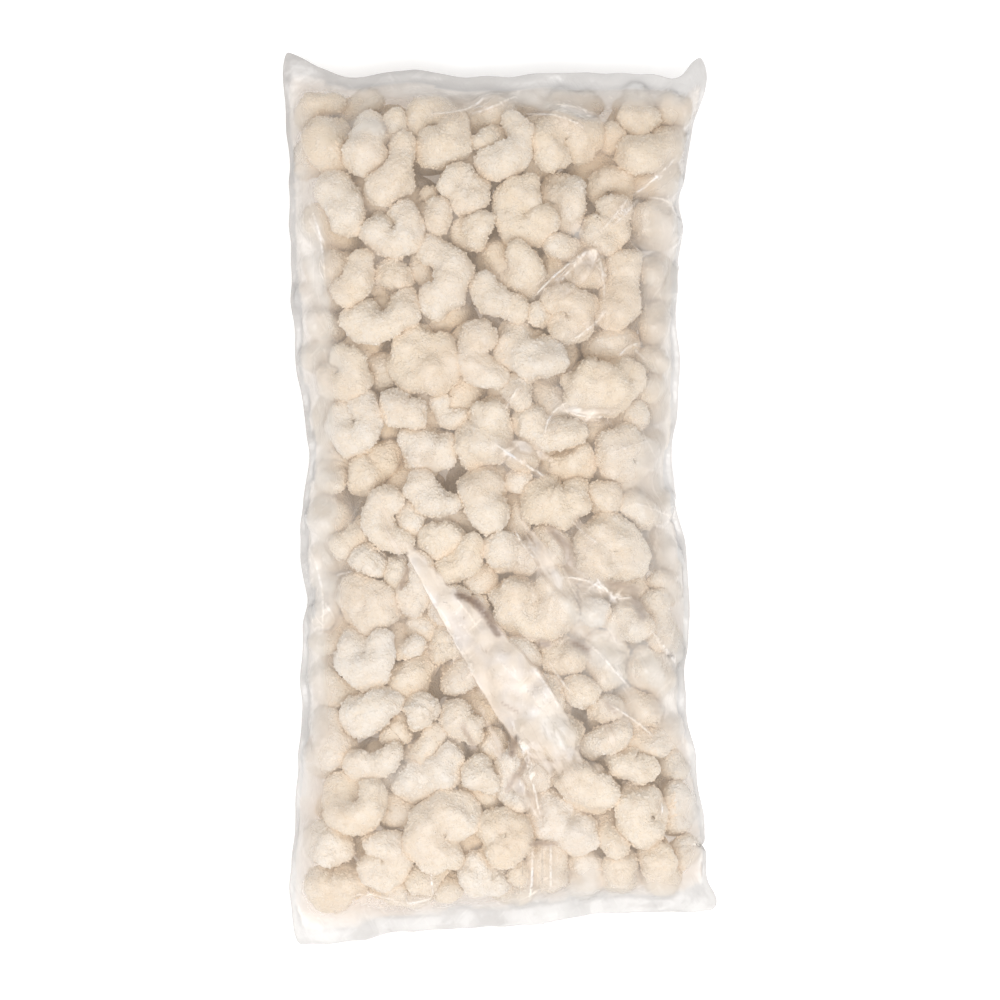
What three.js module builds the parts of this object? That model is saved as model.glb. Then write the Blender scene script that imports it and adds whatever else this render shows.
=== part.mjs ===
// A sealed pillow bag of hazy film, full of frozen breaded popcorn shrimp. It lies on its back with
// its shown side up: +X runs across the bag, +Y from its foot end to its top end, and +Z up.
// The film is drawn over the pieces, so each piece beside it makes a bulge, and the pieces below
// press flat spots on the table. Film that holds nothing lies flat as fins along the sides, as a
// seal band at both ends and as a pointed ear at each corner. All sizes are in millimetres.
import * as THREE from "three";

// The bag without its ears, and its heights over the table.
const BODY_WIDTH = 170;
const BODY_LENGTH = 376;
const FILLED_HEIGHT = 50;
const FIN_HEIGHT = 21;
const CROWN = 4;

// Long swells of the shown side, where the pieces have settled unevenly: height and wavelengths.
const SWELL = 2.2;
const SWELL_ALONG = 295;
const SWELL_ACROSS = 377;

// Film that holds no food.
const SIDE_FIN = 5;
const TOP_SEAL = 9;
const FOOT_SEAL = 12;
const FIN_THICKNESS = 1;
const FIN_RIPPLE = 2.2;
const RIPPLE_LENGTH = 61;
const SHORT_RIPPLE = 1.1;
const SHORT_RIPPLE_LENGTH = 26.5;

// How far in from the fins the bag reaches its full height above and below them.
const SIDE_SHOULDER = 32;
const END_SHOULDER = 38;
const UNDER_SHOULDER = 18;
const SHOULDER_FULLNESS = 0.62;

// Bulges: the dip between two pieces over and under, and the share of a piece that bulges.
const TOP_DIP = 6.2;
const UNDER_DIP = 3.2;
const BULGE_SHARE = 0.62;
const PRESSED_SHARE = 0.42;
const SLENDER = 0.8;

// Grid of the film: cells across a fin or seal, then cells over the filled part.
const FIN_CELLS = 2;
const CELLS_ACROSS = 30;
const CELLS_ALONG = 64;

// The filled part as a leaning rectangle, and the pieces that are drawn at random to fill it.
const FILLED_SIDE = 72;
const FILLED_TOP = 173;
const FILLED_FOOT = -167;
const LEAN_AT_TOP = -6;
const TOP_PIECES = 118;
const UNDER_PIECES = 112;
const CANDIDATES = 14;
const SMALLEST_PIECE = 17;
const LARGEST_PIECE = 31;
const TOP_SEED = 20261;
const UNDER_SEED = 4177;

// The edge of the bag as stations [x, y] from ear to ear, with the stretches that pull in.
const LEFT_EDGE = [
  [-93.5, 197.8],
  [-96.1, 185.5],
  [-93.5, 162.6],
  [-92.6, 129.6],
  [-91.3, 79],
  [-87.8, 43.8],
  [-83.4, 17.4],
  [-87.3, 2],
  [-87.8, -28.8],
  [-84.7, -42],
  [-87.3, -61.8],
  [-87.8, -97],
  [-90.9, -141],
  [-92.6, -180.6],
  [-87.8, -197.3],
];
const RIGHT_EDGE = [
  [88.3, 195.8],
  [91.6, 187.3],
  [89.4, 175.6],
  [84.1, 163.9],
  [82.5, 148],
  [78.1, 130.5],
  [80.3, 123],
  [77.2, 85.6],
  [79.4, 59.2],
  [75.9, 13],
  [82.5, -22.2],
  [83.4, -55.2],
  [81.2, -81.6],
  [85.1, -108],
  [90, -141],
  [91.7, -166.5],
  [96.1, -174.9],
  [93.5, -180.2],
];
const TOP_EDGE = [
  [-93.5, 197.8],
  [-68, 186.8],
  [-41.6, 189.4],
  [-10.8, 186.8],
  [37.6, 188.5],
  [66.2, 187.7],
  [79.3, 185],
  [83.2, 191.2],
  [88.3, 195.8],
];
const FOOT_EDGE = [
  [-87.8, -197.3],
  [-73, -194.7],
  [-60.6, -194.1],
  [-50, -190.6],
  [2.4, -187.7],
  [44.4, -182.5],
  [71.3, -181.4],
  [93.5, -180.2],
];

// The pieces that show best through the film: [x, y, length, way the curl opens in degrees].
const SHOWN_PIECES = [
  [-46, 143, 32, -75],
  [-28, 162, 37, 200],
  [25, 161, 31, 240],
  [66, 154, 27, 130],
  [17, 125, 37, 30],
  [-45, 118, 30, 60],
  [6, 103, 37, 80],
  [-24, 99, 33, 0],
  [32, 87, 27, 45],
  [-49, 78, 34, 100],
  [-32, 60, 35, 20],
  [14, 62, 34, 170],
  [45, 49, 36, 260],
  [-60, 33, 29, 100],
  [-8, 28, 34, 0],
  [24, -4, 30, 200],
  [47, -19, 34, -60],
  [15, -46, 44, 75],
  [-57, -42, 30, 100],
  [-54, -68, 33, 130],
  [-74, -104, 29, 0],
  [24, -101, 29, 45],
  [-62, -133, 33, 90],
  [37, -126, 29, 250],
  [-26, -143, 35, -20],
  [60, -139, 26, 90],
];

// The piece under the middle of the bag, which presses the flat spot that it rests on.
const MIDDLE_PIECE = [0, 0, LARGEST_PIECE, 0];

// The same pseudo-random numbers on every run, from 0 to 1.
function drawer(seed) {
  let state = seed;
  return () => {
    state = (state * 16807) % 2147483647;
    return state / 2147483647;
  };
}

const clamp = (value, low, high) => Math.min(Math.max(value, low), high);

// Fills the leaning rectangle with pieces: each new one is the most open of several candidates.
function spreadPieces(fixed, count, seed) {
  const draw = drawer(seed);
  const pieces = fixed.map(([x, y, length, opens]) => ({ x, y, length, opens }));
  while (pieces.length < count) {
    let best = null;
    for (let tried = 0; tried < CANDIDATES; tried++) {
      const along = draw();
      const y = FILLED_FOOT + along * (FILLED_TOP - FILLED_FOOT);
      const x = LEAN_AT_TOP * along + (2 * draw() - 1) * FILLED_SIDE;
      const room = Math.min(...pieces.map((p) => Math.hypot(p.x - x, p.y - y) / p.length));
      if (!best || room > best.room) best = { x, y, room };
    }
    const length = SMALLEST_PIECE + draw() * (LARGEST_PIECE - SMALLEST_PIECE);
    pieces.push({ x: best.x, y: best.y, length, opens: 360 * draw() });
  }
  return pieces;
}

// How much of a bulge the pieces make at a point: 1 on top of a piece and 0 in the dips.
function bulgeAt(pieces, x, y) {
  let sum = 0;
  for (const piece of pieces) {
    const turn = THREE.MathUtils.degToRad(piece.opens + 90);
    const along = (x - piece.x) * Math.cos(turn) + (y - piece.y) * Math.sin(turn);
    const across = (y - piece.y) * Math.cos(turn) - (x - piece.x) * Math.sin(turn);
    const reach = BULGE_SHARE * piece.length;
    const cap = 1 - (along / reach) ** 2 - (across / (SLENDER * reach)) ** 2;
    if (cap > 0) sum += cap ** 3;
  }
  return Math.min(Math.cbrt(sum), 1);
}

// Places along an edge of the given length in millimetres: fine over the fins, even between them.
function gridLines(length, finStart, finEnd, cells) {
  const lines = [];
  for (let i = 0; i < FIN_CELLS; i++) lines.push((finStart * i) / FIN_CELLS);
  for (let i = 0; i <= cells; i++) lines.push(finStart + ((length - finStart - finEnd) * i) / cells);
  for (let i = 1; i <= FIN_CELLS; i++) lines.push(length - finEnd + (finEnd * i) / FIN_CELLS);
  return lines.map((at) => at / length);
}

const splineOf = (stations) => new THREE.SplineCurve(stations.map(([x, y]) => new THREE.Vector2(x, y)));

const leftEdge = splineOf([...LEFT_EDGE].reverse());
const rightEdge = splineOf([...RIGHT_EDGE].reverse());
const topEdge = splineOf(TOP_EDGE);
const footEdge = splineOf(FOOT_EDGE);

// The point of the outline's patch at u across and v along, both from 0 to 1, with its distances
// in from the sides and from the two ends.
function spotAt(u, v) {
  const left = leftEdge.getPointAt(v);
  const right = rightEdge.getPointAt(v);
  const foot = footEdge.getPointAt(u);
  const top = topEdge.getPointAt(u);
  const blend = (axis) => {
    const between = left[axis] * (1 - u) + right[axis] * u + foot[axis] * (1 - v) + top[axis] * v;
    const low = leftEdge.points[0][axis] * (1 - u) + rightEdge.points[0][axis] * u;
    const high = leftEdge.points.at(-1)[axis] * (1 - u) + rightEdge.points.at(-1)[axis] * u;
    return between - low * (1 - v) - high * v;
  };
  return {
    x: blend("x"),
    y: blend("y"),
    fromSide: Math.min(u, 1 - u) * left.distanceTo(right),
    fromFoot: v * foot.distanceTo(top),
    fromTop: (1 - v) * foot.distanceTo(top),
  };
}

// A rounded rise from 0 at the fin to 1 after the shoulder.
function rounded(distance, shoulder) {
  const left = 1 - clamp(distance / shoulder, 0, 1);
  return (1 - left * left) ** SHOULDER_FULLNESS;
}

// Film heights at a spot, over the food and under it.
function heightsAt(spot, topPieces, underPieces) {
  const { x, y } = spot;
  const inSide = spot.fromSide - SIDE_FIN;
  const inEnd = Math.min(spot.fromFoot - FOOT_SEAL, spot.fromTop - TOP_SEAL);
  const over = rounded(inSide, SIDE_SHOULDER) * rounded(inEnd, END_SHOULDER);
  const under = rounded(inSide, UNDER_SHOULDER) * rounded(inEnd, UNDER_SHOULDER);

  const alongEdge = Math.abs(inSide) < Math.abs(inEnd) ? y : x;
  const ripple =
    FIN_RIPPLE * Math.sin((2 * Math.PI * alongEdge) / RIPPLE_LENGTH) +
    SHORT_RIPPLE * Math.cos((2 * Math.PI * alongEdge) / SHORT_RIPPLE_LENGTH);
  const fin = FIN_HEIGHT + ripple * (1 - under);

  const crown = CROWN * (1 - (x / FILLED_SIDE) ** 2);
  const swell = SWELL * Math.sin(2 * Math.PI * (y / SWELL_ALONG + x / SWELL_ACROSS));
  const dip = TOP_DIP * (1 - bulgeAt(topPieces, x, y));
  const rise = FILLED_HEIGHT - FIN_HEIGHT - CROWN + crown + swell - dip;
  const top = fin + FIN_THICKNESS / 2 + rise * over;

  const lifted = clamp(1 - bulgeAt(underPieces, x, y) / (1 - PRESSED_SHARE), 0, 1);
  const bottom = (fin - FIN_THICKNESS / 2) * (1 - under) + UNDER_DIP * lifted * under;
  return { top: Math.max(top, bottom + FIN_THICKNESS), bottom };
}

// The closed skin of the bag: an upper and a lower sheet on one grid, joined round the edge.
function bagGeometry() {
  const across = gridLines(BODY_WIDTH, SIDE_FIN, SIDE_FIN, CELLS_ACROSS);
  const along = gridLines(BODY_LENGTH, FOOT_SEAL, TOP_SEAL, CELLS_ALONG);
  const topPieces = spreadPieces(SHOWN_PIECES, TOP_PIECES, TOP_SEED);
  const underPieces = spreadPieces([MIDDLE_PIECE], UNDER_PIECES, UNDER_SEED);

  const positions = [];
  for (const sheet of ["top", "bottom"])
    for (const v of along)
      for (const u of across) {
        const spot = spotAt(u, v);
        positions.push(spot.x, spot.y, heightsAt(spot, topPieces, underPieces)[sheet]);
      }

  const columns = across.length;
  const rows = along.length;
  const lower = columns * rows;
  const faces = [];
  const quad = (a, b, c, d) => faces.push(a, b, c, a, c, d);
  for (let row = 0; row < rows - 1; row++)
    for (let column = 0; column < columns - 1; column++) {
      const a = row * columns + column;
      const [b, c, d] = [a + 1, a + columns + 1, a + columns];
      quad(a, b, c, d);
      faces.push(lower + a, lower + c, lower + b, lower + a, lower + d, lower + c);
    }
  const wall = (a, b) => quad(a, lower + a, lower + b, b);
  for (let column = 0; column < columns - 1; column++) {
    wall(column, column + 1);
    wall(lower - 1 - column, lower - 2 - column);
  }
  for (let row = 0; row < rows - 1; row++) {
    wall((row + 1) * columns - 1, (row + 2) * columns - 1);
    wall((rows - 1 - row) * columns, (rows - 2 - row) * columns);
  }

  const geometry = new THREE.BufferGeometry();
  geometry.setAttribute("position", new THREE.Float32BufferAttribute(positions, 3));
  geometry.setIndex(faces);
  geometry.computeVertexNormals();
  return geometry;
}

const hazyFilm = new THREE.MeshStandardMaterial({
  color: new THREE.Color("#e8dac6"),
  roughness: 0.3,
  metalness: 0,
});

const bag = new THREE.Mesh(bagGeometry(), hazyFilm);
bag.name = "sealed_bag";

// The origin is under the middle of the bag, on the table.
bag.geometry.computeBoundingBox();
const middle = bag.geometry.boundingBox.getCenter(new THREE.Vector3());
bag.position.set(-middle.x, -middle.y, 0);

const popcornShrimpBag = new THREE.Group();
popcornShrimpBag.add(bag);

export default popcornShrimpBag;
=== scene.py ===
"""A sealed pillow bag of frozen breaded popcorn shrimp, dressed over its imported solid.

The solid gives the form of the filled bag. Loose breaded pieces are laid out under it, pressed apart
until they lie inside it, and the film is then drawn over them, with its creases, its seal bands and
its ears. Lengths are in metres in the row frame unless a name says millimetres.
"""

import logging
import math
from dataclasses import dataclass, field
from enum import Enum
from typing import ClassVar

import bmesh
import bpy
import numpy as np
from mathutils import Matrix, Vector, noise
from mathutils.bvhtree import BVHTree


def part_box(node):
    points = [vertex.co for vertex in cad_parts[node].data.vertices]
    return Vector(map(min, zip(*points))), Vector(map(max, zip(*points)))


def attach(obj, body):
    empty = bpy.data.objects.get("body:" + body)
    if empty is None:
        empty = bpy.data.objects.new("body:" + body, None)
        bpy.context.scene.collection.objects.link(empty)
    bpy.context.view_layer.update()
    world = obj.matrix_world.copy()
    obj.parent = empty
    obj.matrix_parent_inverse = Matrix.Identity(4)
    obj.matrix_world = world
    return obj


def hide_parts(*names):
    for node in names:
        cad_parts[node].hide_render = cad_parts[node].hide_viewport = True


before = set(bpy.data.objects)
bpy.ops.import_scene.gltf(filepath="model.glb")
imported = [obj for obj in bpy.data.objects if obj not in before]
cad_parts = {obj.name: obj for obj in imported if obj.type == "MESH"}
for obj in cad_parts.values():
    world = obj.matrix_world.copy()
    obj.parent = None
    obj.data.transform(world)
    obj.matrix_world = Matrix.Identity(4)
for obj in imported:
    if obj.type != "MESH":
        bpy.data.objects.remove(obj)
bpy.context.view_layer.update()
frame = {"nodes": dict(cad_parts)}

MM = 0.001
BAG_NODE = "sealed_bag"
BODY = "root"

log = logging.getLogger("popcorn_shrimp_bag")

Colour = tuple[float, float, float, float]
Station = tuple[float, float, float, float]
Socket = bpy.types.NodeSocket


class Cut(Enum):
    """The ways that a small shrimp has curled under its breading."""

    RING = "ring"
    CURL = "curl"
    HOOK = "hook"
    LOG = "log"
    NUGGET = "nugget"
    CHUNK = "chunk"


class Layer(Enum):
    """Where in the bag a piece lies."""

    SHOWN = "shown"
    INNER = "inner"
    UNDER = "under"


@dataclass(frozen=True)
class Build:
    """How a cut is bent and how thick it is, with its bend and thickness as shares of its length.

    Its balls stand for it while it settles, and rings is the share of a whole ball's rings in its mesh.
    """

    arc: float
    bend: float
    thick: float
    taper: float
    balls: int
    rings: float = 1.0


BUILDS: dict[Cut, Build] = {
    Cut.RING: Build(arc=262, bend=0.170, thick=0.292, taper=0.36, balls=8),
    Cut.CURL: Build(arc=215, bend=0.224, thick=0.250, taper=0.34, balls=7),
    Cut.HOOK: Build(arc=150, bend=0.310, thick=0.215, taper=0.28, balls=6, rings=0.86),
    Cut.LOG: Build(arc=62, bend=0.540, thick=0.240, taper=0.22, balls=4, rings=0.66),
    Cut.NUGGET: Build(arc=60, bend=0.345, thick=0.325, taper=0.16, balls=3, rings=0.66),
    Cut.CHUNK: Build(arc=40, bend=0.230, thick=0.400, taper=0.08, balls=2, rings=0.60),
}


@dataclass(eq=False)
class Piece:
    """One breaded piece: its place in millimetres, its length and the way its inside faces."""

    cut: Cut
    x: float
    y: float
    length: float
    turn: float
    deep: float = 0.0
    layer: Layer = Layer.SHOWN
    z: float = 0.0
    frame: np.ndarray = field(default_factory=lambda: np.eye(3))


R, C, H, L, N, K = Cut.RING, Cut.CURL, Cut.HOOK, Cut.LOG, Cut.NUGGET, Cut.CHUNK

# The pieces that show best, row by row from the top end: cut, x, y, length, turn and how deep they lie.
SHOWN_PIECES: tuple[tuple[Cut, float, float, float, float, float], ...] = (
    (C, -79, 171, 27, 40, 0), (L, -62, 173, 27, 80, 7), (K, -84, 154, 18, 0, 3), (N, -59, 155, 28, 120, 0),
    (C, -26, 163, 36, 185, 1), (L, 33, 176, 27, 80, 4), (N, 61, 170, 29, 100, 1), (K, 77, 175, 18, 0, 2),
    (H, 5, 153, 33, 175, 1), (C, 26, 158, 33, 235, 0), (N, 49, 158, 21, 0, 8), (L, 67, 154, 34, 130, 0),
    (L, -46, 143, 33, 110, 0), (N, 8, 176, 24, 90, 8), (N, -14, 178, 22, 80, 9), (C, 47, 139, 24, 270, 8),
    (N, -69, 129, 30, 185, 0), (K, -15, 134, 26, 0, 1), (H, -36, 130, 24, 90, 12), (C, 10, 123, 35, 50, 2),
    (R, 28, 128, 30, 120, 0), (C, -44, 116, 30, 90, 0), (N, 47, 119, 29, 160, 0), (N, 70, 121, 31, 190, 2),
    (N, -11, 117, 25, 90, 3), (C, 8, 100, 38, 80, 1), (L, -62, 96, 28, 150, 1), (K, -45, 97, 18, 0, 2),
    (H, -24, 97, 36, 200, 0), (N, -75, 102, 26, 0, 4), (C, 32, 83, 30, 250, 0), (K, 38, 99, 21, 0, 3),
    (L, 54, 90, 37, 190, 0), (N, 71, 95, 29, 5, 6), (L, 0, 86, 29, 80, 1), (H, -49, 78, 34, 110, 0),
    (N, -77, 78, 22, 0, 5), (N, -24, 79, 22, 90, 9), (R, -32, 60, 35, 60, 0), (H, -9, 60, 31, 10, 0),
    (N, 12, 63, 34, 165, 0), (N, 46, 49, 37, 75, 0), (K, 65, 61, 19, 0, 5), (C, -66, 55, 31, 175, 1),
    (K, 30, 58, 19, 0, 9), (N, -42, 38, 22, 30, 2), (H, -21, 38, 19, 30, 6), (C, -61, 31, 32, 130, 0),
    (L, 22, 30, 31, 90, 2), (K, -30, 22, 27, 0, 0), (N, -6, 29, 35, 170, 0), (R, 55, 22, 34, 300, 0),
    (N, -76, 35, 22, 0, 7), (N, -72, 8, 26, 20, 6), (L, -29, 1, 28, 95, 0), (N, -6, 0, 31, 70, 1),
    (N, 25, -2, 32, 80, 0), (K, 45, 1, 15, 0, 3), (N, 68, 0, 26, 60, 3), (H, -50, -11, 32, 20, 1),
    (C, -37, -6, 28, 70, 8), (N, -25, -17, 22, 130, 0), (L, -17, -27, 27, 135, 1), (R, 46, -21, 36, 320, 0),
    (C, 6, -26, 29, 95, 3), (K, -56, -29, 18, 0, 2), (K, -44, -31, 16, 0, 2), (N, -75, -24, 24, 0, 7),
    (R, -57, -46, 32, 80, 0), (C, 18, -46, 41, 95, 0), (K, 58, -52, 24, 0, 2), (K, -31, -52, 16, 0, 4),
    (K, -25, -64, 19, 0, 3), (C, -57, -69, 35, 130, 0), (N, 46, -71, 29, 10, 2), (N, 27, -71, 24, 70, 3),
    (N, 66, -74, 27, 60, 3), (N, 2, -72, 31, 130, 4), (N, -55, -92, 28, 125, 1), (K, -34, -93, 18, 0, 1),
    (N, -17, -96, 24, 10, 1), (N, 21, -102, 31, 80, 1), (C, -74, -105, 35, 180, 0),
    (K, -45, -102, 16, 0, 4), (L, -54, -114, 27, 110, 0), (L, -28, -119, 35, 118, 0),
    (K, -8, -120, 18, 0, 1), (N, 58, -117, 23, 120, 1), (N, 76, -115, 23, 0, 4), (N, 38, -126, 31, 250, 0),
    (C, -62, -134, 35, 92, 0), (C, -28, -143, 37, -25, 0), (R, 1, -143, 30, 200, 0),
    (N, 28, -141, 33, 40, 0), (R, 60, -139, 31, 20, 0), (N, 78, -138, 29, 0, 3), (N, -76, -151, 27, 90, 2),
    (C, -48, -156, 30, 200, 1), (N, -71, -169, 30, 110, 2), (L, -40, -172, 23, 100, 4),
    (N, -22, -168, 19, 30, 4), (N, -6, -163, 27, 100, 2), (N, 25, -161, 26, 5, 2),
    (N, 39, -164, 27, 175, 2), (N, 52, -164, 27, 5, 2), (N, 69, -162, 28, 170, 2), (N, 6, -171, 22, 80, 5),
    (K, 80, -157, 17, 0, 3),
)


def along_stroke(x: np.ndarray, y: np.ndarray, start: tuple[float, float],
                 end: tuple[float, float]) -> tuple[np.ndarray, np.ndarray]:
    """Where the nearest place on a straight stroke is, seen from each point.

    Args:
        x: Places across the bag in millimetres.
        y: Places along the bag in millimetres.
        start: Where the stroke starts.
        end: Where it ends.

    Returns:
        How far along the stroke that place is, from 0 to 1, and how far away it is.
    """
    run = np.array([end[0] - start[0], end[1] - start[1]])
    share = np.clip(((x - start[0]) * run[0] + (y - start[1]) * run[1]) / run.dot(run), 0, 1)
    return share, np.hypot(x - start[0] - share * run[0], y - start[1] - share * run[1])


@dataclass(frozen=True)
class Crease:
    """A sharp fold of the film: its two ends in millimetres, its sideways bow, height, breadth and painted
    glare.
    """

    x0: float
    y0: float
    x1: float
    y1: float
    bow: float = 0.0
    height: float = 1.4
    breadth: float = 1.3
    glare: float = 1.0


# The creases that show best: the ridges of the upper right, the long fold and the foot's gathers.
CREASES: tuple[Crease, ...] = tuple(Crease(*row) for row in (
    (13, 86, 41, 110, 1.5, 2.2, 1.5, 1.0), (41, 110, 45, 86, 1.5, 1.4, 1.2, 0.7),
    (29, 68, 47, 83, -1.5, 1.8, 1.5, 0.9), (51, 62, 62, 69, 1.0, 1.2, 1.2, 0.8),
    (55, 131, 78, 151, -1.5, 1.6, 1.3, 0.8), (2, 38, 9, 50, 0.5, 1.4, 1.2, 0.8),
    (19, 27, 30, 43, 3.0, 1.5, 1.3, 0.9), (30, 38, 46, 36, -1.0, 1.6, 2.2, 1.0),
    (-4, 26, 24, 8, -1.0, 1.6, 1.8, 1.0), (6, -12, 17, -27, -1.0, 1.3, 1.1, 0.9),
    (26, -33, 48, -41, 2.0, 1.5, 1.3, 0.9), (45, -87, 68, -104, 1.0, 1.3, 1.0, 0.8),
    (4, -94, 18, -140, 1.5, 1.6, 1.2, 1.0), (11, -104, 16, -122, -0.5, 1.2, 1.0, 0.8),
    (14, -151, 13, -176, 0.5, 1.5, 1.1, 1.0), (22, -149, 22, -171, 0.0, 1.5, 1.1, 1.0),
    (-30, -161, -29, -173, 0.0, 1.3, 1.1, 0.9), (-29, -173, -45, -177, 1.0, 1.4, 1.1, 1.0),
    (-44, -17, -5, -88, 0.0, 0.9, 1.0, 0.6), (70, -128, 71, -139, 0.0, 1.3, 1.1, 0.8),
    (58, 66, 64, 60, 0.0, 1.1, 1.0, 0.6), (-14, 168, 8, 178, -1.5, 1.4, 1.4, 0.7),
    (9, 168, 39, 160, 3.0, 1.4, 1.5, 0.8), (-66, -172, -38, -178, 1.5, 1.3, 1.2, 0.7),
    (-32, 168, -4, 179, -4.0, 1.6, 2.6, 0.8), (-84, 132, -76, 92, 2.0, 1.2, 2.2, 0.6),
    (-84, -20, -78, -60, 3.0, 1.2, 2.2, 0.5), (36, -60, 58, -84, 1.0, 1.1, 1.2, 0.6),
    (43, 116, 57, 133, -0.8, 1.2, 1.0, 0.8), (47, 117, 61, 132, -0.6, 0.9, 0.9, 0.6),
    (64, 132, 80, 127, 1.4, 1.3, 1.3, 0.6), (23, 173, 43, 168, 1.2, 1.0, 1.3, 0.8),
    (58, -1, 79, -9, 0.5, 1.0, 1.0, 0.5), (40, -33, 50, -43, 0.4, 1.1, 0.9, 0.9),
    (49, -42, 58, -42, -0.4, 1.0, 0.9, 0.8), (64, -55, 78, -73, 0.6, 1.1, 1.0, 0.7),
    (60, -48, 71, -66, 0.5, 0.9, 0.9, 0.6), (33, 68, 46, 84, -1.0, 1.0, 0.9, 0.6),
    (41, 113, 41, 102, 0.3, 1.0, 0.9, 0.8), (41, 102, 47, 96, 0.3, 0.9, 0.9, 0.6),
    (24, 92, 39, 109, 0.4, 1.1, 0.9, 0.8), (-2, -68, 18, -90, 0.8, 0.9, 1.0, 0.5),
    (14, -72, 26, -90, 0.8, 1.1, 1.0, 0.7), (20, -68, 33, -86, -0.6, 0.9, 0.9, 0.6),
    (-22, -38, -8, -58, 0.4, 0.7, 0.9, 0.4), (48, 20, 66, 26, 0.6, 0.9, 0.9, 0.4),
    (30, -8, 44, -20, -0.6, 0.9, 0.9, 0.5), (-34, 52, -26, 44, 0.3, 0.8, 0.9, 0.3),
))


@dataclass(frozen=True)
class Veil:
    """A flat, white fold with painted glare: stations (x, y, half width in millimetres, whiteness) along it.

    It may have a straight, crisp edge between two places, with the fold on the left of that way.
    """

    stations: tuple[Station, ...]
    edge: Station | None = None
    CRISPNESS: ClassVar[float] = 3.0
    OUTSIDE: ClassVar[float] = -5.0

    def depth(self, x: np.ndarray, y: np.ndarray) -> tuple[np.ndarray, np.ndarray]:
        """How far each point is inside the fold, and how white the fold is there.

        Args:
            x: Places across the bag in millimetres.
            y: Places along the bag in millimetres.

        Returns:
            The distance inside its edge in millimetres, below zero outside it, and the whiteness.
        """
        best, white = np.full(len(x), self.OUTSIDE), np.zeros(len(x))
        for (ax, ay, aw, a), (bx, by, bw, b) in zip(self.stations, self.stations[1:]):
            share, away = along_stroke(x, y, (ax, ay), (bx, by))
            inside = aw + (bw - aw) * share - away
            white = np.where(inside > best, a + (b - a) * share, white)
            best = np.maximum(best, inside)
        if self.edge is not None:
            x0, y0, x1, y1 = self.edge
            beside = ((x1 - x0) * (y - y0) - (y1 - y0) * (x - x0)) / math.hypot(x1 - x0, y1 - y0)
            best = np.minimum(best, np.maximum(self.CRISPNESS * beside, self.OUTSIDE))
        return best, white


# The long fold down the middle comes first, then the smaller ones round it and up the right side.
VEILS: tuple[Veil, ...] = (
    Veil(((-41, -19, 1.6, 1.0), (-33, -32, 5.0, 1.0), (-26, -42, 7.0, 1.0), (-15, -55, 9.5, 1.0),
          (-4, -69, 12.0, 1.0), (5, -82, 13.5, 0.98), (14, -93, 13.0, 0.86), (22, -103, 11.5, 0.66),
          (28, -113, 8.0, 0.50), (32, -127, 1.5, 0.35)), edge=(-43.5, -18.0, 12.0, -119.0)),
    Veil(((-9, -89, 0.8, 0.5), (-4, -100, 1.8, 0.6), (3, -117, 2.4, 0.7), (10, -128, 1.8, 0.7),
          (17, -140, 0.8, 0.5))),
    Veil(((-53, 4, 0.8, 0.4), (-49, -8, 2.6, 0.6), (-45, -20, 2.0, 0.7), (-41, -26, 0.8, 0.7))),
    Veil(((9, -8, 0.8, 0.3), (15, -18, 2.8, 0.6), (22, -29, 4.2, 0.7), (30, -38, 2.8, 0.5),
          (44, -49, 1.0, 0.3))),
    Veil(((43, -38, 0.8, 0.4), (50, -42, 2.2, 0.6), (60, -45, 0.8, 0.5))),
    Veil(((46, -98, 0.8, 0.8), (49, -105, 2.4, 1.0), (50, -112, 0.8, 0.8))),
    Veil(((37, -114, 0.8, 0.4), (43, -116, 2.4, 0.6), (48, -116, 0.8, 0.4))),
    Veil(((16, 85, 1.0, 0.3), (24, 90, 3.4, 0.5), (34, 99, 4.0, 0.6), (41, 108, 1.5, 0.6))),
    Veil(((23, 39, 0.5, 0.8), (37, 37.5, 2.0, 0.9), (53, 39, 0.5, 0.6))),
    Veil(((-3, 29, 0.6, 0.8), (13, 22, 1.7, 0.8), (27, 14, 0.6, 0.5))),
)


@dataclass(frozen=True)
class Shade:
    """Painted shade over a dark gap beside a fold: a stroke between two places in millimetres."""

    x0: float
    y0: float
    x1: float
    y1: float
    half: float = 1.2
    strength: float = 0.7


SHADES: tuple[Shade, ...] = tuple(Shade(*row) for row in (
    (-18, -41, -11, -44, 1.5, 1.0), (-11, -44, -6, -50, 1.9, 1.0), (-6, -50, -1, -58, 1.8, 0.9),
    (22, -13, 29, -20, 1.8, 0.7), (29, -20, 30, -28, 1.6, 0.6), (7, -103, 5, -110, 1.3, 0.8),
    (7, -119, 3, -126, 1.2, 0.7), (14, -149, 24, -149.5, 0.8, 0.8), (-40, -30, -43, -38, 1.0, 0.7),
    (58, -42, 62, -50, 1.6, 0.6), (-16, -98, -11, -108, 1.2, 0.6), (46, -88, 50, -92, 0.9, 0.6),
    (-1, -58, 14, -60, 0.8, 0.5), (17, -62, 21, -63, 1.4, 0.9), (32, -62, 38, -65, 1.4, 0.8),
    (8, -92, 1, -88, 0.9, 0.6), (12, -112, 9, -118, 1.0, 0.7), (47, -36, 60, -39, 1.2, 0.6),
))


@dataclass(frozen=True)
class SheenMist:
    """A milkier patch of the film with painted sheen: its middle, half length and half breadth in
    millimetres, and its turn.
    """

    x: float
    y: float
    long: float
    broad: float
    turn: float = 0.0
    strength: float = 0.3


# Milky patches of the film, partly haze and partly painted sheen where the film catches the light.
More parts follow.
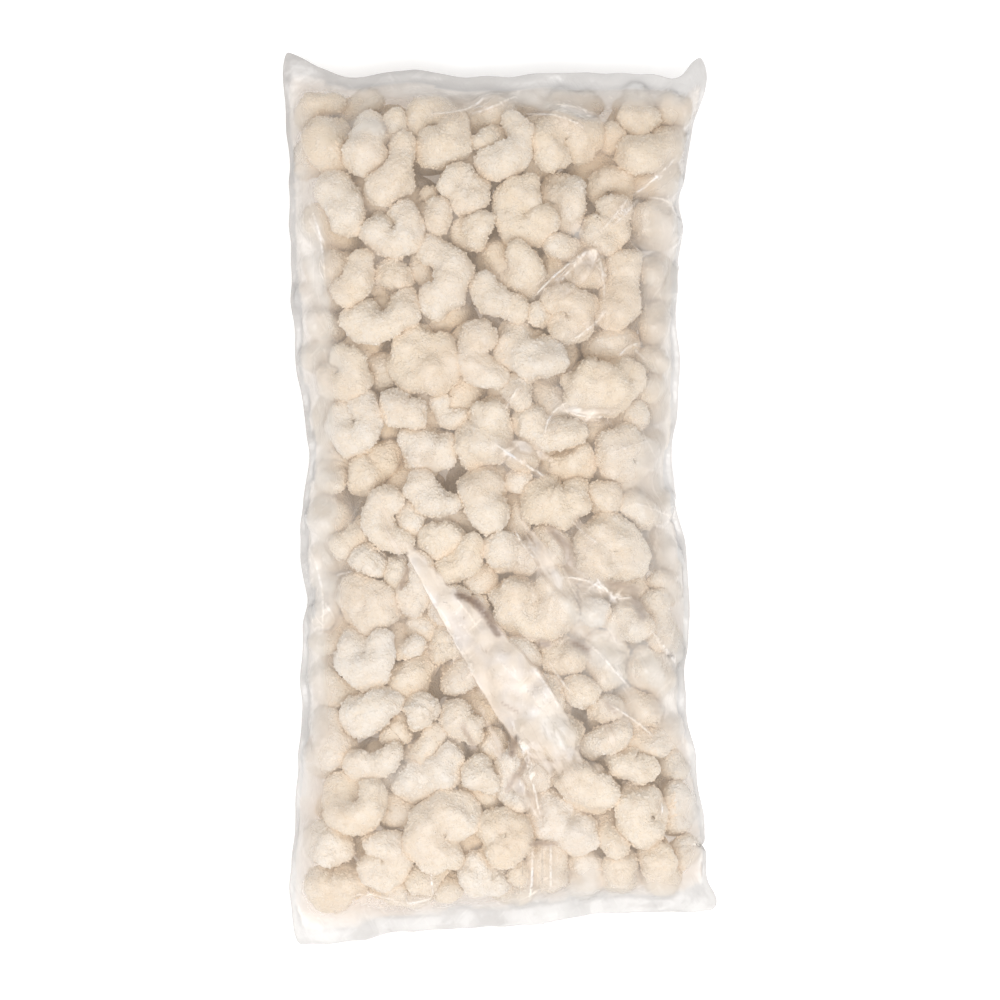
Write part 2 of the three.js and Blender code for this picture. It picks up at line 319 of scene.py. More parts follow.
SHEEN_MISTS: tuple[SheenMist, ...] = tuple(SheenMist(*row) for row in (
    (45, -62, 44, 18, -58, 0.30), (24, -98, 17, 10, -48, 0.34), (62, -20, 40, 12, -80, 0.18),
    (66, 40, 50, 12, 85, 0.18), (28, 42, 24, 10, -10, 0.16), (-78, 30, 70, 12, 90, 0.18),
    (-76, -30, 44, 12, 90, 0.16), (-60, 163, 22, 7, -8, 0.30), (12, 177, 9, 4.5, 0, 0.50),
    (-22, 182, 32, 5, 6, 0.50), (28, 170, 20, 3, -16, 0.40), (-60, -8, 18, 8, 60, 0.14),
    (-6, 26, 20, 8, -20, 0.14), (66, 112, 40, 12, 80, 0.18), (-80, 110, 50, 9, 90, 0.18),
    (-85, 112, 26, 3, -72, 0.34), (-79, -72, 24, 3, -88, 0.22), (77, 34, 60, 5, 88, 0.48),
    (70, -80, 26, 4, -62, 0.28), (-46, -118, 26, 12, 30, 0.12), (34, 116, 10, 5, 0, 0.22),
    (66, 175, 24, 5, 0, 0.22), (-70, 60, 16, 5, -50, 0.16), (2, 100, 14, 6, 30, 0.12),
    (24, 62, 16, 6, 60, 0.16), (-54, -62, 14, 20, 0, 0.10), (46, -162, 40, 10, 0, 0.12),
))


# The loose crumbs: their name, their least and greatest radius in millimetres, and how many there are.
CRUMB_KINDS: tuple[tuple[str, tuple[float, float], int], ...] = (
    ("small_crumbs", (0.46, 0.68), 24500),
    ("middling_crumbs", (0.66, 0.96), 24500),
    ("coarse_crumbs", (0.96, 1.36), 9000),
)


class Dice:
    """Pseudo-random numbers that are the same on every run."""

    FACTOR = 16807
    MODULUS = 2147483647

    def __init__(self, seed: int) -> None:
        """Starts the sequence from a seed."""
        self.state = seed

    def roll(self, low: float = 0.0, high: float = 1.0) -> float:
        """Draws the next number between low and high."""
        self.state = self.state * self.FACTOR % self.MODULUS
        return low + (high - low) * self.state / self.MODULUS


def mesh_tree(mesh: bpy.types.Mesh) -> BVHTree:
    """The faces of a mesh, for casting rays at and for finding the nearest of them."""
    return BVHTree.FromPolygons([v.co[:] for v in mesh.vertices], [p.vertices[:] for p in mesh.polygons])


def axis_turn(axis: np.ndarray, angle: np.ndarray) -> np.ndarray:
    """Rotation matrices about unit axes.

    Args:
        axis: Unit axes, one for each row.
        angle: Angles in radians, one for each row.

    Returns:
        The matrices, of shape (rows, 3, 3).
    """
    x, y, z = axis.T
    zero = np.zeros_like(x)
    rows = ([zero, -z, y], [z, zero, -x], [-y, x, zero])
    cross = np.stack([np.stack(row, 1) for row in rows], 1)
    sine, cosine = np.sin(angle)[:, None, None], np.cos(angle)[:, None, None]
    return np.eye(3) + sine * cross + (1 - cosine) * (cross @ cross)


@dataclass(eq=False)
class BagForm:
    """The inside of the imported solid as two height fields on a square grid, in millimetres."""

    node: bpy.types.Object
    pitch: float = 3.0
    margin: float = 9.0
    outside_step: float = 2.4
    rim_gap: float = 1.6
    rim_keep: float = 0.45
    cast_from: float = 20.0
    top_room: float = 1.8
    under_room: float = 1.4
    floor_gap: float = 0.7
    softening: int = 2
    far: float = 100.0
    far_steps: int = 14
    diagonal: float = 1.41
    most_push: float = 4.0
    most_rim_push: float = 3.0
    least_slope: float = 0.3

    def __post_init__(self) -> None:
        """Casts rays down on the solid and up under it, and closes the fields outside its outline."""
        low, high = (np.array(corner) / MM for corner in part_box(self.node.name))
        self.high = high
        tree = mesh_tree(self.node.data)
        self.xs = np.arange(low[0] - self.margin, high[0] + self.margin, self.pitch)
        self.ys = np.arange(low[1] - self.margin, high[1] + self.margin, self.pitch)
        self.skin_top = self._close(self._cast(tree, from_above=True), -1)
        self.skin_bottom = self._close(self._cast(tree, from_above=False), 1)
        self.rim = self._from_rim()
        self.top = self._soften(self.skin_top) + self.top_room
        self.bottom = np.maximum(self._soften(self.skin_bottom) - self.under_room, self.floor_gap)

    def _cast(self, tree: BVHTree, from_above: bool) -> np.ndarray:
        """Heights of the first surface met from above or from below, with nan where there is none.

        Args:
            tree: The faces of the solid.
            from_above: Whether the rays come down on it or up under it.

        Returns:
            The heights on the grid in millimetres.
        """
        start = self.high[2] + self.cast_from if from_above else -self.cast_from
        way = Vector((0, 0, -1 if from_above else 1))
        heights = np.full((len(self.ys), len(self.xs)), np.nan)
        for row, y in enumerate(self.ys):
            for column, x in enumerate(self.xs):
                spot = tree.ray_cast(Vector((x * MM, y * MM, start * MM)), way)[0]
                if spot is not None:
                    heights[row, column] = spot.z / MM
        return heights

    def _close(self, heights: np.ndarray, sign: int) -> np.ndarray:
        """Extends a field outwards so that it drives back what strays past the outline.

        Args:
            heights: The field, with nan outside the outline.
            sign: Whether it rises or falls outwards.

        Returns:
            The field with no nan left.
        """
        closed = heights.copy()
        while np.isnan(closed).any():
            padded = np.pad(closed, 1, constant_values=np.nan)
            near = np.stack([padded[1:-1, :-2], padded[1:-1, 2:], padded[:-2, 1:-1], padded[2:, 1:-1]])
            known = ~np.isnan(near)
            mean = np.where(known, near, 0).sum(0) / np.maximum(known.sum(0), 1)
            fill = np.isnan(closed) & known.any(0)
            closed[fill] = mean[fill] + sign * self.outside_step
        return closed

    def _from_rim(self) -> np.ndarray:
        """How far each grid point is inside the fins and seal bands, below zero on them."""
        thin = self.skin_top - self.skin_bottom < self.rim_gap
        return self._distance(thin) - self._distance(~thin)

    def _distance(self, marked: np.ndarray) -> np.ndarray:
        """How far each grid point is from the nearest marked one, up to about 40 mm.

        Args:
            marked: Which grid points are marked.

        Returns:
            The distances in millimetres.
        """
        away = np.where(marked, 0.0, self.far)
        for _ in range(self.far_steps):
            padded = np.pad(away, 1, mode="edge")
            across = np.minimum(padded[1:-1, :-2], padded[1:-1, 2:])
            straight = np.minimum(across, np.minimum(padded[:-2, 1:-1], padded[2:, 1:-1]))
            slant = np.minimum.reduce([padded[:-2, :-2], padded[:-2, 2:], padded[2:, :-2], padded[2:, 2:]])
            away = np.minimum.reduce([away, straight + self.pitch, slant + self.diagonal * self.pitch])
        return away

    def _soften(self, heights: np.ndarray) -> np.ndarray:
        """Averages a field with its neighbours a few times.

        Args:
            heights: The field.

        Returns:
            The softer field.
        """
        for _ in range(self.softening):
            padded = np.pad(heights, 1, mode="edge")
            across = padded[1:-1, :-2] + padded[1:-1, 2:]
            along = padded[:-2, 1:-1] + padded[2:, 1:-1]
            heights = (2 * heights + across + along) / 6
        return heights

    def sample(self, heights: np.ndarray, x: np.ndarray, y: np.ndarray) -> tuple[np.ndarray, ...]:
        """Reads a field between its grid points.

        Args:
            heights: One of the fields.
            x: Places across the bag in millimetres.
            y: Places along the bag in millimetres.

        Returns:
            The heights, and the slopes across and along the bag.
        """
        u = np.clip((x - self.xs[0]) / self.pitch, 0, len(self.xs) - 1.001)
        v = np.clip((y - self.ys[0]) / self.pitch, 0, len(self.ys) - 1.001)
        i, j = u.astype(int), v.astype(int)
        fu, fv = u - i, v - j
        a, b = heights[j, i], heights[j, i + 1]
        c, d = heights[j + 1, i], heights[j + 1, i + 1]
        value = (a * (1 - fu) + b * fu) * (1 - fv) + (c * (1 - fu) + d * fu) * fv
        across = ((b - a) * (1 - fv) + (d - c) * fv) / self.pitch
        along = ((c - a) * (1 - fu) + (d - b) * fu) / self.pitch
        return value, across, along

    def thickness(self, x: float, y: float) -> float:
        """How much room there is between the two fields at one place."""
        spot = np.array([x]), np.array([y])
        return float(self.sample(self.top, *spot)[0][0] - self.sample(self.bottom, *spot)[0][0])

    def squeeze(self, points: np.ndarray, radius: np.ndarray) -> np.ndarray:
        """How far the film pushes balls back inside.

        Args:
            points: Centres of the balls in millimetres.
            radius: Their radii.

        Returns:
            The push on each ball.
        """
        push = np.zeros_like(points)
        for heights, sign in ((self.top, -1), (self.bottom, 1)):
            value, across, along = self.sample(heights, points[:, 0], points[:, 1])
            steep = 1 / np.sqrt(1 + across**2 + along**2)
            clear = (points[:, 2] - value) * sign * steep
            over = np.clip(radius - clear, 0, self.most_push)
            way = np.stack([-across, -along, np.ones_like(across)], 1) * steep[:, None] * sign
            push += way * over[:, None]
        inside, across, along = self.sample(self.rim, points[:, 0], points[:, 1])
        short = np.clip(self.rim_keep * radius - inside, 0, self.most_rim_push)
        short = short / np.maximum(np.hypot(across, along), self.least_slope)
        push[:, :2] += np.stack([across * short, along * short], 1)
        return push


@dataclass(eq=False)
class Heap:
    """All the breaded pieces of the bag, laid out and pressed apart.

    Lengths are in millimetres. The holds, lifts and pulls act once in each round of the settling.
    """

    form: BagForm
    seed: int = 72041
    fillers: int = 84
    under_count: int = 84
    inner_count: int = 38
    candidates: int = 40
    small: float = 24.0
    large: float = 32.0
    least: float = 19.0
    unseen_bite: float = 1.2
    rounds: int = 260
    crumb_bite: float = 0.5
    reach: float = 12.0
    near_end: float = 158.0
    near_side: float = 72.0
    spread_wide: float = 80
    spread_long: float = 174
    widest_gap: float = 50.0
    filler_depths: tuple[float, float] = (5, 9.5)
    filler_cuts: tuple[Cut, ...] = (C, H, L, R, N, L, H, C)
    buried: float = 0.6
    inner_shares: tuple[float, float] = (0.3, 0.65)
    inner_tilt: float = 85
    least_tilt: float = 14
    tilt_by_depth: float = 4
    level: float = 0.01
    on_top: float = 3
    firm_hold: float = 0.42
    loose_hold: float = 0.16
    deep_hold: float = 0.10
    lift: float = 0.50
    under_sink: float = 0.3
    sturdiness: float = 60.0
    pair_rounds: int = 10
    pair_reach: float = 4
    most_overlap: float = 5
    calm_from: float = 0.75
    calm_pull: float = 0.35
    ease: float = 0.32
    most_shift: float = 2
    most_turn: float = 0.15

    def __post_init__(self) -> None:
        """Lays out the listed shown pieces and the others by chance, and settles them all."""
        self.dice = Dice(self.seed)
        self.pieces = [self._shown(*row) for row in SHOWN_PIECES]
        self._spread(Layer.SHOWN, self.fillers)
        self._spread(Layer.UNDER, self.under_count)
        self._spread(Layer.INNER, self.inner_count)
        self._stand_up()
        self._settle()

    def _shown(self, cut: Cut, x: float, y: float, length: float, turn: float, deep: float) -> Piece:
        """A piece from the list: where only a small part shows, the rest lies deeper under its neighbours.

        Args:
            cut: How it has curled.
            x: Its place across the bag in millimetres.
            y: Its place along the bag.
            length: The length that shows.
            turn: The way its inside faces, in degrees.
            deep: How deep it lies.

        Returns:
            The piece.
        """
        at_rim = abs(y) > self.near_end or abs(x) > self.near_side
        hidden = 0.0 if at_rim else max(0.0, self.least - length)
        return Piece(cut, x, y, length + hidden, turn, deep + self.buried * hidden)

    def _spread(self, layer: Layer, count: int) -> None:
        """Adds pieces of one layer, each in the widest gap of several.

        Args:
            layer: The layer.
            count: How many to add.
        """
        taken = [self._footprint(p) for p in self.pieces if p.layer is layer]
        spots = np.concatenate(taken) if taken else np.zeros((0, 3))
        for _ in range(count):
            best, most = (0.0, 0.0), -math.inf
            for _ in range(self.candidates):
                x = self.dice.roll(-self.spread_wide, self.spread_wide)
                y = self.dice.roll(-self.spread_long, self.spread_long)
                away = np.hypot(spots[:, 0] - x, spots[:, 1] - y) - spots[:, 2]
                room = away.min(initial=self.widest_gap)
                if self.form.thickness(x, y) > self.small and room > most:
                    best, most = (x, y), room
            cut = self.filler_cuts[int(self.dice.roll(0, len(self.filler_cuts)))]
            length = self.dice.roll(self.small, self.large)
            piece = Piece(cut, *best, length, self.dice.roll(0, 360), layer=layer)
            piece.deep = self.dice.roll(*self.filler_depths) if layer is Layer.SHOWN else 0.0
            self.pieces.append(piece)
            spots = np.concatenate([spots, self._footprint(piece)])

    @staticmethod
    def _footprint(piece: Piece) -> np.ndarray:
        """The round spots that a piece covers, as rows of x, y and radius.

        Args:
            piece: The piece.

        Returns:
            The rows in millimetres.
        """
        shape = PieceShape(BUILDS[piece.cut], piece.length)
        share = np.linspace(0, 1, BUILDS[piece.cut].balls)
        across, along = shape.spine(share)[0][:, :2].T
        cosine, sine = math.cos(math.radians(piece.turn)), math.sin(math.radians(piece.turn))
        x = piece.x + across * cosine - along * sine
        y = piece.y + across * sine + along * cosine
        return np.stack([x, y, shape.radius * shape.swell(share)], 1)

    def _stand_up(self) -> None:
        """Gives each piece its first height and the way it is turned."""
        for piece in self.pieces:
            spot = np.array([piece.x]), np.array([piece.y])
            high, across, along = (float(v[0]) for v in self.form.sample(self.form.top, *spot))
            low, _, _ = (float(v[0]) for v in self.form.sample(self.form.bottom, *spot))
            half = BUILDS[piece.cut].thick * piece.length
            if piece.layer is Layer.SHOWN:
                piece.z = high - half - piece.deep
            elif piece.layer is Layer.UNDER:
                piece.z = low + half
            else:
                piece.z = self.dice.roll(*(low + share * (high - low) for share in self.inner_shares))
            inner = piece.layer is Layer.INNER
            wild = self.inner_tilt if inner else self.least_tilt + self.tilt_by_depth * piece.deep
            tilt = math.radians(self.dice.roll(-wild, wild))
            about = self.dice.roll(0, 2 * math.pi)
            yaw = axis_turn(np.array([[0.0, 0.0, 1.0]]), np.array([math.radians(piece.turn)]))[0]
            lean = axis_turn(np.array([[math.cos(about), math.sin(about), 0.0]]), np.array([tilt]))[0]
            follow = np.array([[along, -across, 0.0]]) * (-1 if piece.layer is Layer.SHOWN else 0)
            size = float(np.linalg.norm(follow))
            tilted = size > self.level
            slope = axis_turn(follow / size, np.array([-math.atan(size)]))[0] if tilted else np.eye(3)
            piece.frame = slope @ lean @ yaw

    def _balls(self) -> tuple[np.ndarray, np.ndarray, np.ndarray]:
        """The balls that stand for the pieces while they settle: owners, places in them and radii.

        Returns:
            Which piece each ball belongs to, its place in that piece and its radius.
        """
        owners, places, radii = [], [], []
        for index, piece in enumerate(self.pieces):
            shape = PieceShape(BUILDS[piece.cut], piece.length)
            share = np.linspace(0, 1, BUILDS[piece.cut].balls)
            places.append(shape.spine(share)[0])
            unseen = piece.layer is Layer.SHOWN and piece.deep >= self.filler_depths[0]
            bite = self.unseen_bite if unseen else self.crumb_bite
            radii.append(shape.radius * shape.swell(share) - bite / 2)
            owners.append(np.full(len(share), index))
        return np.concatenate(owners), np.concatenate(places), np.concatenate(radii)

    def _settle(self) -> None:
        """Moves and turns the pieces until they hardly overlap and none passes the film."""
        owner, local, radius = self._balls()
        count = len(self.pieces)
        centre = np.array([[p.x, p.y, p.z] for p in self.pieces])
        turn = np.array([p.frame for p in self.pieces])
        anchor = centre.copy()
        shown = np.array([p.layer is Layer.SHOWN for p in self.pieces])
        under = np.array([p.layer is Layer.UNDER for p in self.pieces])
        deep = np.array([p.deep for p in self.pieces])
        high = deep < self.on_top
        firm = high | (np.abs(anchor[:, 1]) > self.near_end)
        hold = np.where(shown, np.where(firm, self.firm_hold, self.loose_hold), 0.0)
        sink = np.where(shown & ~high, self.deep_hold, 0.0)
        lift = np.where(shown & high, self.lift, 0.0) - np.where(under, self.under_sink, 0.0)
        spread = np.bincount(owner, (local**2).sum(1), count) + self.sturdiness
        pairs = np.zeros((0, 2), int)
        for step in range(self.rounds):
            arms = np.einsum("mij,mj->mi", turn[owner], local)
            points = centre[owner] + arms
            if step % self.pair_rounds == 0:
                pairs = self._near(points, radius, owner)
            a, b = pairs.T
            gap = points[a] - points[b]
            away = np.maximum(np.linalg.norm(gap, axis=1), 1e-6)
            over = np.clip(radius[a] + radius[b] - away, 0, self.most_overlap)
            move = gap * (0.5 * over / away)[:, None]
            shift = self.form.squeeze(points, radius)
            np.add.at(shift, a, move)
            np.subtract.at(shift, b, move)
            twist = np.cross(arms, shift)
            push = np.stack([np.bincount(owner, shift[:, k], count) for k in range(3)], 1)
            torque = np.stack([np.bincount(owner, twist[:, k], count) for k in range(3)], 1)
            pull = 1.0 if step < self.rounds * self.calm_from else self.calm_pull
            centre += np.clip(self.ease * push, -self.most_shift, self.most_shift)
            centre[:, :2] += (anchor - centre)[:, :2] * (hold * pull)[:, None]
            centre[:, 2] += lift * pull + (anchor - centre)[:, 2] * sink
            angle = 0.5 * torque / spread[:, None]
            size = np.maximum(np.linalg.norm(angle, axis=1), 1e-9)
            turn = axis_turn(angle / size[:, None], np.minimum(size, self.most_turn)) @ turn
        log.info("settled: mean overlap %.2f mm, worst %.2f mm", over[over > 0].mean(), over.max())
        for index, piece in enumerate(self.pieces):
            piece.x, piece.y, piece.z = centre[index]
            piece.frame = turn[index]
        self.ball_owner, self.ball_radius = owner, radius
        self.ball_spots = centre[owner] + np.einsum("mij,mj->mi", turn[owner], local)

    def gap_to_others(self, piece: Piece, points: np.ndarray) -> np.ndarray:
        """How far points of one piece are from the nearest other piece.

        Args:
            piece: The piece that the points are on.
            points: The points in millimetres.

        Returns:
            The distances in millimetres, below zero where the pieces press into each other.
        """
        middle = np.array([piece.x, piece.y, piece.z])
        near = np.linalg.norm(self.ball_spots - middle, axis=1) < piece.length + self.reach
        near &= self.ball_owner != self.pieces.index(piece)
        spots, radius = self.ball_spots[near], self.ball_radius[near]
        best = np.full(len(points), self.reach)
        for spot, size in zip(spots, radius):
            best = np.minimum(best, np.linalg.norm(points - spot, axis=1) - size)
        return best

    def _near(self, points: np.ndarray, radius: np.ndarray, owner: np.ndarray) -> np.ndarray:
        """Pairs of balls of different pieces that are close enough to meet soon.

        Args:
            points: The balls' centres in millimetres.
            radius: Their radii.
            owner: The piece of each.

        Returns:
            The numbers of both balls, pair by pair.
        """
        found = []
        for index in range(len(points) - 1):
            rest = slice(index + 1, None)
            reach = radius[index] + radius[rest] + self.pair_reach
            near = ((points[rest] - points[index]) ** 2).sum(1) < reach**2
            near &= owner[rest] != owner[index]
            hits = np.nonzero(near)[0] + index + 1
            found.append(np.stack([np.full(len(hits), index), hits], 1))
        return np.concatenate(found)


@dataclass(eq=False)
class PieceShape:
    """A bent, tapered body with rounded ends, which the crumb coat is raised on.

    Each pattern of the coat has its height and its size in millimetres, but the lumps' height is a
    share of the body's radius. The crests say how far each pattern makes a point stand out.
    """

    build: Build
    length: float
    lump: float = 0.38
    lump_size: float = 9.0
    knob: float = 0.66
    knob_size: float = 3.6
    nodule: float = 0.70
    nodule_size: float = 3.0
    grit: float = 0.30
    grit_size: float = 1.4
    flatness: float = 0.93
    top_share: float = 0.45
    pole: float = 0.30
    thickest: float = 0.42
    waviness: float = 0.08
    waves: int = 8
    wave_shift: float = 7
    nodule_level: float = 0.42
    crest: float = 0.45
    nodule_crest: float = 0.8
    grit_crest: float = 0.4
    lump_crest: float = 0.3

    def __post_init__(self) -> None:
        """Works out the bend and the thickness of a piece of that length in millimetres."""
        self.arc = math.radians(self.build.arc)
        self.bend = self.build.bend * self.length
        self.radius = self.build.thick * self.length

    def spine(self, share: np.ndarray) -> tuple[np.ndarray, np.ndarray, np.ndarray]:
        """Points along the middle of the body.

        Args:
            share: Places from 0 at the thick end to 1 at the thin end.

        Returns:
            The points, the ways along the body and the ways outwards in its plane.
        """
        angle = math.pi + (share - 0.5) * self.arc
        zero = np.zeros_like(angle)
        outward = np.stack([np.cos(angle), np.sin(angle), zero], 1)
        forward = np.stack([-np.sin(angle), np.cos(angle), zero], 1)
        middle = self.bend * math.sin(self.arc / 2) / (self.arc / 2)
        return outward * self.bend + np.array([middle, 0, 0]), forward, outward

    def swell(self, share: np.ndarray) -> np.ndarray:
        """How thick the body is along its length, as a share of its radius."""
        wave = np.sin(share * self.waves + self.wave_shift * self.radius)
        return 1 + self.build.taper * (self.thickest - share) + self.waviness * wave

    def surface(self, ball: np.ndarray) -> tuple[np.ndarray, np.ndarray]:
        """Wraps the points of a unit ball round the body.

        Args:
            ball: Points of a unit ball, with its poles on the Z axis.

        Returns:
            The points on the body in millimetres and the ways straight out of it.
        """
        tall = np.arcsin(np.clip(ball[:, 2], -1, 1)) / math.pi + 0.5
        about = np.arctan2(-ball[:, 1], ball[:, 0])
        about = about + self.top_share * np.cos(about)
        cap = self.radius * math.pi / 2
        body = self.bend * self.arc
        run = tall * (body + 2 * cap)
        share = np.clip((run - cap) / body, 0, 1)
        start = np.clip(run / cap, 0, 1) * math.pi / 2
        finish = np.clip((run - cap - body) / cap, 0, 1) * math.pi / 2
        axial = np.sin(finish) - np.cos(start)
        radial = np.where(share <= 0, np.sin(start), np.cos(finish))
        points, forward, outward = self.spine(share)
        up = np.array([0, 0, self.flatness])
        way = forward * axial[:, None]
        way = way + (outward * np.cos(about)[:, None] + up * np.sin(about)[:, None]) * radial[:, None]
        return points + way * (self.radius * self.swell(share))[:, None], way

    def coat(self, ball: np.ndarray, seed: float) -> tuple[np.ndarray, np.ndarray]:
        """Raises lumps, crumb nodules and grit on the body.

        Args:
            ball: Points of a unit ball, with its poles on the Z axis.
            seed: Shifts the pattern, so that no two pieces are alike.

        Returns:
            The raised points, and how far out each one is of its surroundings, from 0 to 1.
        """
        points, ways = self.surface(ball)
        calm = np.clip(np.hypot(ball[:, 0], ball[:, 1]) / self.pole, 0, 1)
        spots = points + np.array([seed, -seed, 2 * seed])
        lump = np.array([noise.noise(spot) for spot in spots / self.lump_size])
        knob = np.array([noise.noise(spot) for spot in spots / self.knob_size])
        near = np.array([noise.voronoi(spot)[0][0] for spot in spots / self.nodule_size])
        grit = np.array([noise.noise(spot) for spot in spots / self.grit_size])
        nodule = (self.nodule_level - near**2) * calm
        grit = grit * calm
        raised = self.lump * self.radius * lump + self.knob * knob + self.nodule * nodule + self.grit * grit
        crest = self.crest + self.nodule_crest * nodule + self.grit_crest * grit + self.lump_crest * lump
        return points + ways * raised[:, None], np.clip(crest, 0, 1)


@dataclass(eq=False)
class BreadedPieces:
    """The meshes of the heap, one for each cut, from balls wrapped round the bent bodies.

    The balls have fewer segments and rings where the pieces lie deeper. Lengths are in millimetres.
    """

    heap: Heap
    form: BagForm
    seed: int = 9151
    fine: tuple[int, int] = (34, 56)
    plain: tuple[int, int] = (20, 26)
    rough: tuple[int, int] = (12, 16)
    in_sight: float = 13.5
    hidden: float = 24.0
    lowest: float = 0.6
    spare_crumbs: float = 1.28
    crumb_depth: float = 13.0
    crumb_rim: float = 4.0
    # How far, in millimetres, the painted warm bounce light reaches from another piece.
    crevice_bounce: float = 3.6
    pattern_run: float = 400
    # Painted shade: how much darker the tint grows towards the top end, from where along the bag and over
    # what run.
    top_end_shade: float = 0.45
    top_end_shade_from: float = 60
    top_end_shade_run: float = 160
    grain: tuple[int, int] = (4, 2)
    seeds: float = 1e6
    crumbs_wide: float = 88
    crumbs_long: float = 184
    slant: float = 0.9
    cast_from: float = 20
    least_crumb: tuple[float, float, float] = (0.7, 0.7, 0.75)
    most_crumb: tuple[float, float, float] = (1.3, 1.3, 0.95)
    tint_shift: float = 0.3
    flatten: float = 0.5
    sink: float = 0.10
    stand: float = 0.02
    crumb_crest: float = 0.62

    def __post_init__(self) -> None:
        """Starts the random numbers, with no ball made yet."""
        self.dice = Dice(self.seed)
        self.balls: dict[tuple[int, int], tuple[bpy.types.Mesh, np.ndarray]] = {}

    def ball(self, piece: Piece) -> tuple[bpy.types.Mesh, np.ndarray]:
        """The unit ball to wrap round a piece, finer where the piece can be seen better.

        Args:
            piece: The piece.

        Returns:
            The ball's mesh and its points.
        """
        spot = np.array([piece.x]), np.array([piece.y])
        depth = float(self.form.sample(self.form.top, *spot)[0][0]) - piece.z
        if depth < self.in_sight:
            around, steps = self.fine
        elif depth < self.hidden or piece.layer is Layer.UNDER:
            around, steps = self.plain
        else:
            around, steps = self.rough
        steps = int(steps * BUILDS[piece.cut].rings)
        if (around, steps) not in self.balls:
            mesh = unit_ball(around, steps)
            places = np.array([v.co for v in mesh.vertices])
            self.balls[around, steps] = mesh, places
        return self.balls[around, steps]

    def build(self, finish: bpy.types.Material) -> list[bpy.types.Object]:
        """Makes every cut's mesh and dresses it.

        Args:
            finish: The material of the breading.

        Returns:
            The new objects.
        """
        made = []
        for cut in Cut:
            for layers, name in (((Layer.SHOWN,), "shown"), ((Layer.INNER, Layer.UNDER), "inner")):
                pieces = [p for p in self.heap.pieces if p.cut is cut and p.layer in layers]
                if pieces:
                    made.append(self._joined(f"{name}_{cut.value}s", pieces, finish))
        for mesh, _ in self.balls.values():
            bpy.data.meshes.remove(mesh)
        return made

    def _joined(self, name: str, pieces: list[Piece], finish: bpy.types.Material) -> bpy.types.Object:
        """Makes one mesh of some pieces, with each one's tint and the crests of its crumbs.

        Args:
            name: The new object's name.
            pieces: The pieces to join.
            finish: Their material.

        Returns:
            The new object.
        """
        bm = bmesh.new()
        places: list[np.ndarray] = []
        numbers: dict[str, list[np.ndarray]] = {"tint": [], "crest": [], "depth": [], "crevice_bounce": []}
        for piece in pieces:
            mesh, ball = self.ball(piece)
            bm.from_mesh(mesh)
            shape = PieceShape(BUILDS[piece.cut], piece.length)
            points, crest = shape.coat(ball, self.dice.roll(0, self.pattern_run))
            placed = points @ piece.frame.T + np.array([piece.x, piece.y, piece.z])
            placed[:, 2] += max(0.0, self.lowest - placed[:, 2].min())
            places.append(placed)
            # Painted shade: the tint leans darker towards the top end of the bag.
            top_end_shade = self.top_end_shade * min(max((piece.y + self.top_end_shade_from) / self.top_end_shade_run, 0.0), 1.0)
            high = self.form.sample(self.form.top, placed[:, 0], placed[:, 1])[0]
            gap = self.heap.gap_to_others(piece, placed)
            numbers["tint"].append(np.full(len(ball), self.dice.roll(0, 1 - top_end_shade)))
            numbers["crest"].append(crest)
            numbers["depth"].append(np.clip((high - placed[:, 2]) / self.hidden, 0, 1))
            # Painted warm bounce light, strongest where the piece touches another.
            numbers["crevice_bounce"].append(np.clip(1 - gap / self.crevice_bounce, 0, 1))
        made = finished_object(name, bm, finish)
        joined = {label: np.concatenate(parts) for label, parts in numbers.items()}
        write_points(made.data, np.concatenate(places), joined)
        return made

    def crumbs(self, name: str, sizes: tuple[float, float], most: int, skin: "Skin",
               finish: bpy.types.Material) -> bpy.types.Object:
        """Presses single crumbs into the sides of the pieces that show.

        Args:
            name: The crumbs' name.
            sizes: Their least and greatest radius in millimetres.
            most: How many to make at most.
            skin: The joint skin of all the pieces.
            finish: The material of the crumbs.

        Returns:
            The new object.
        """
        grain = unit_ball(*self.grain)
        ball = np.array([v.co for v in grain.vertices])
        draw = np.random.default_rng(int(self.dice.roll(1, self.seeds)))
        tries = int(self.spare_crumbs * most)
        x = draw.uniform(-self.crumbs_wide, self.crumbs_wide, tries)
        y = draw.uniform(-self.crumbs_long, self.crumbs_long, tries)
        full = 2 * math.pi
        slant, about, spin = draw.uniform([[0], [0], [0]], [[self.slant], [full], [full]], (3, tries))
        size = draw.uniform(*sizes, tries)
        shape = draw.uniform(self.least_crumb, self.most_crumb, (tries, 3)) * size[:, None]
        shift = draw.uniform(-self.tint_shift, self.tint_shift, tries)
        high = self.form.sample(self.form.top, x, y)[0]
        way = np.stack([slant * np.cos(about), slant * np.sin(about), -np.ones(tries)], 1)
        start = np.stack([x, y, high], 1) - self.cast_from * way
        rows = []
        for index in range(tries):
            spot, normal, face, _ = skin.tree.ray_cast(Vector(start[index]) * MM, Vector(way[index]))
            if spot is not None:
                rows.append((index, face, *spot, *normal))
        rows = np.array(rows)
        spot, normal = rows[:, 2:5] / MM, rows[:, 5:8]
        high = self.form.sample(self.form.top, spot[:, 0], spot[:, 1])[0]
        rim = self.form.sample(self.form.rim, spot[:, 0], spot[:, 1])[0]
        kept = np.nonzero((high - spot[:, 2] < self.crumb_depth) & (rim > self.crumb_rim))[0][:most]
        chosen, face = rows[kept, :2].astype(int).T
        spot, normal, deep = spot[kept], normal[kept], (high - spot[:, 2])[kept]
        level = np.maximum(normal[:, 2], 0)
        shape[chosen, 2] *= 1 - self.flatten * level
        sunk = size[chosen] * (self.sink * level - self.stand)
        turned = np.einsum("nij,nkj->nki", upright_turns(normal, spin[chosen]), ball * shape[chosen][:, None])
        places = turned + (spot - sunk[:, None] * normal)[:, None]
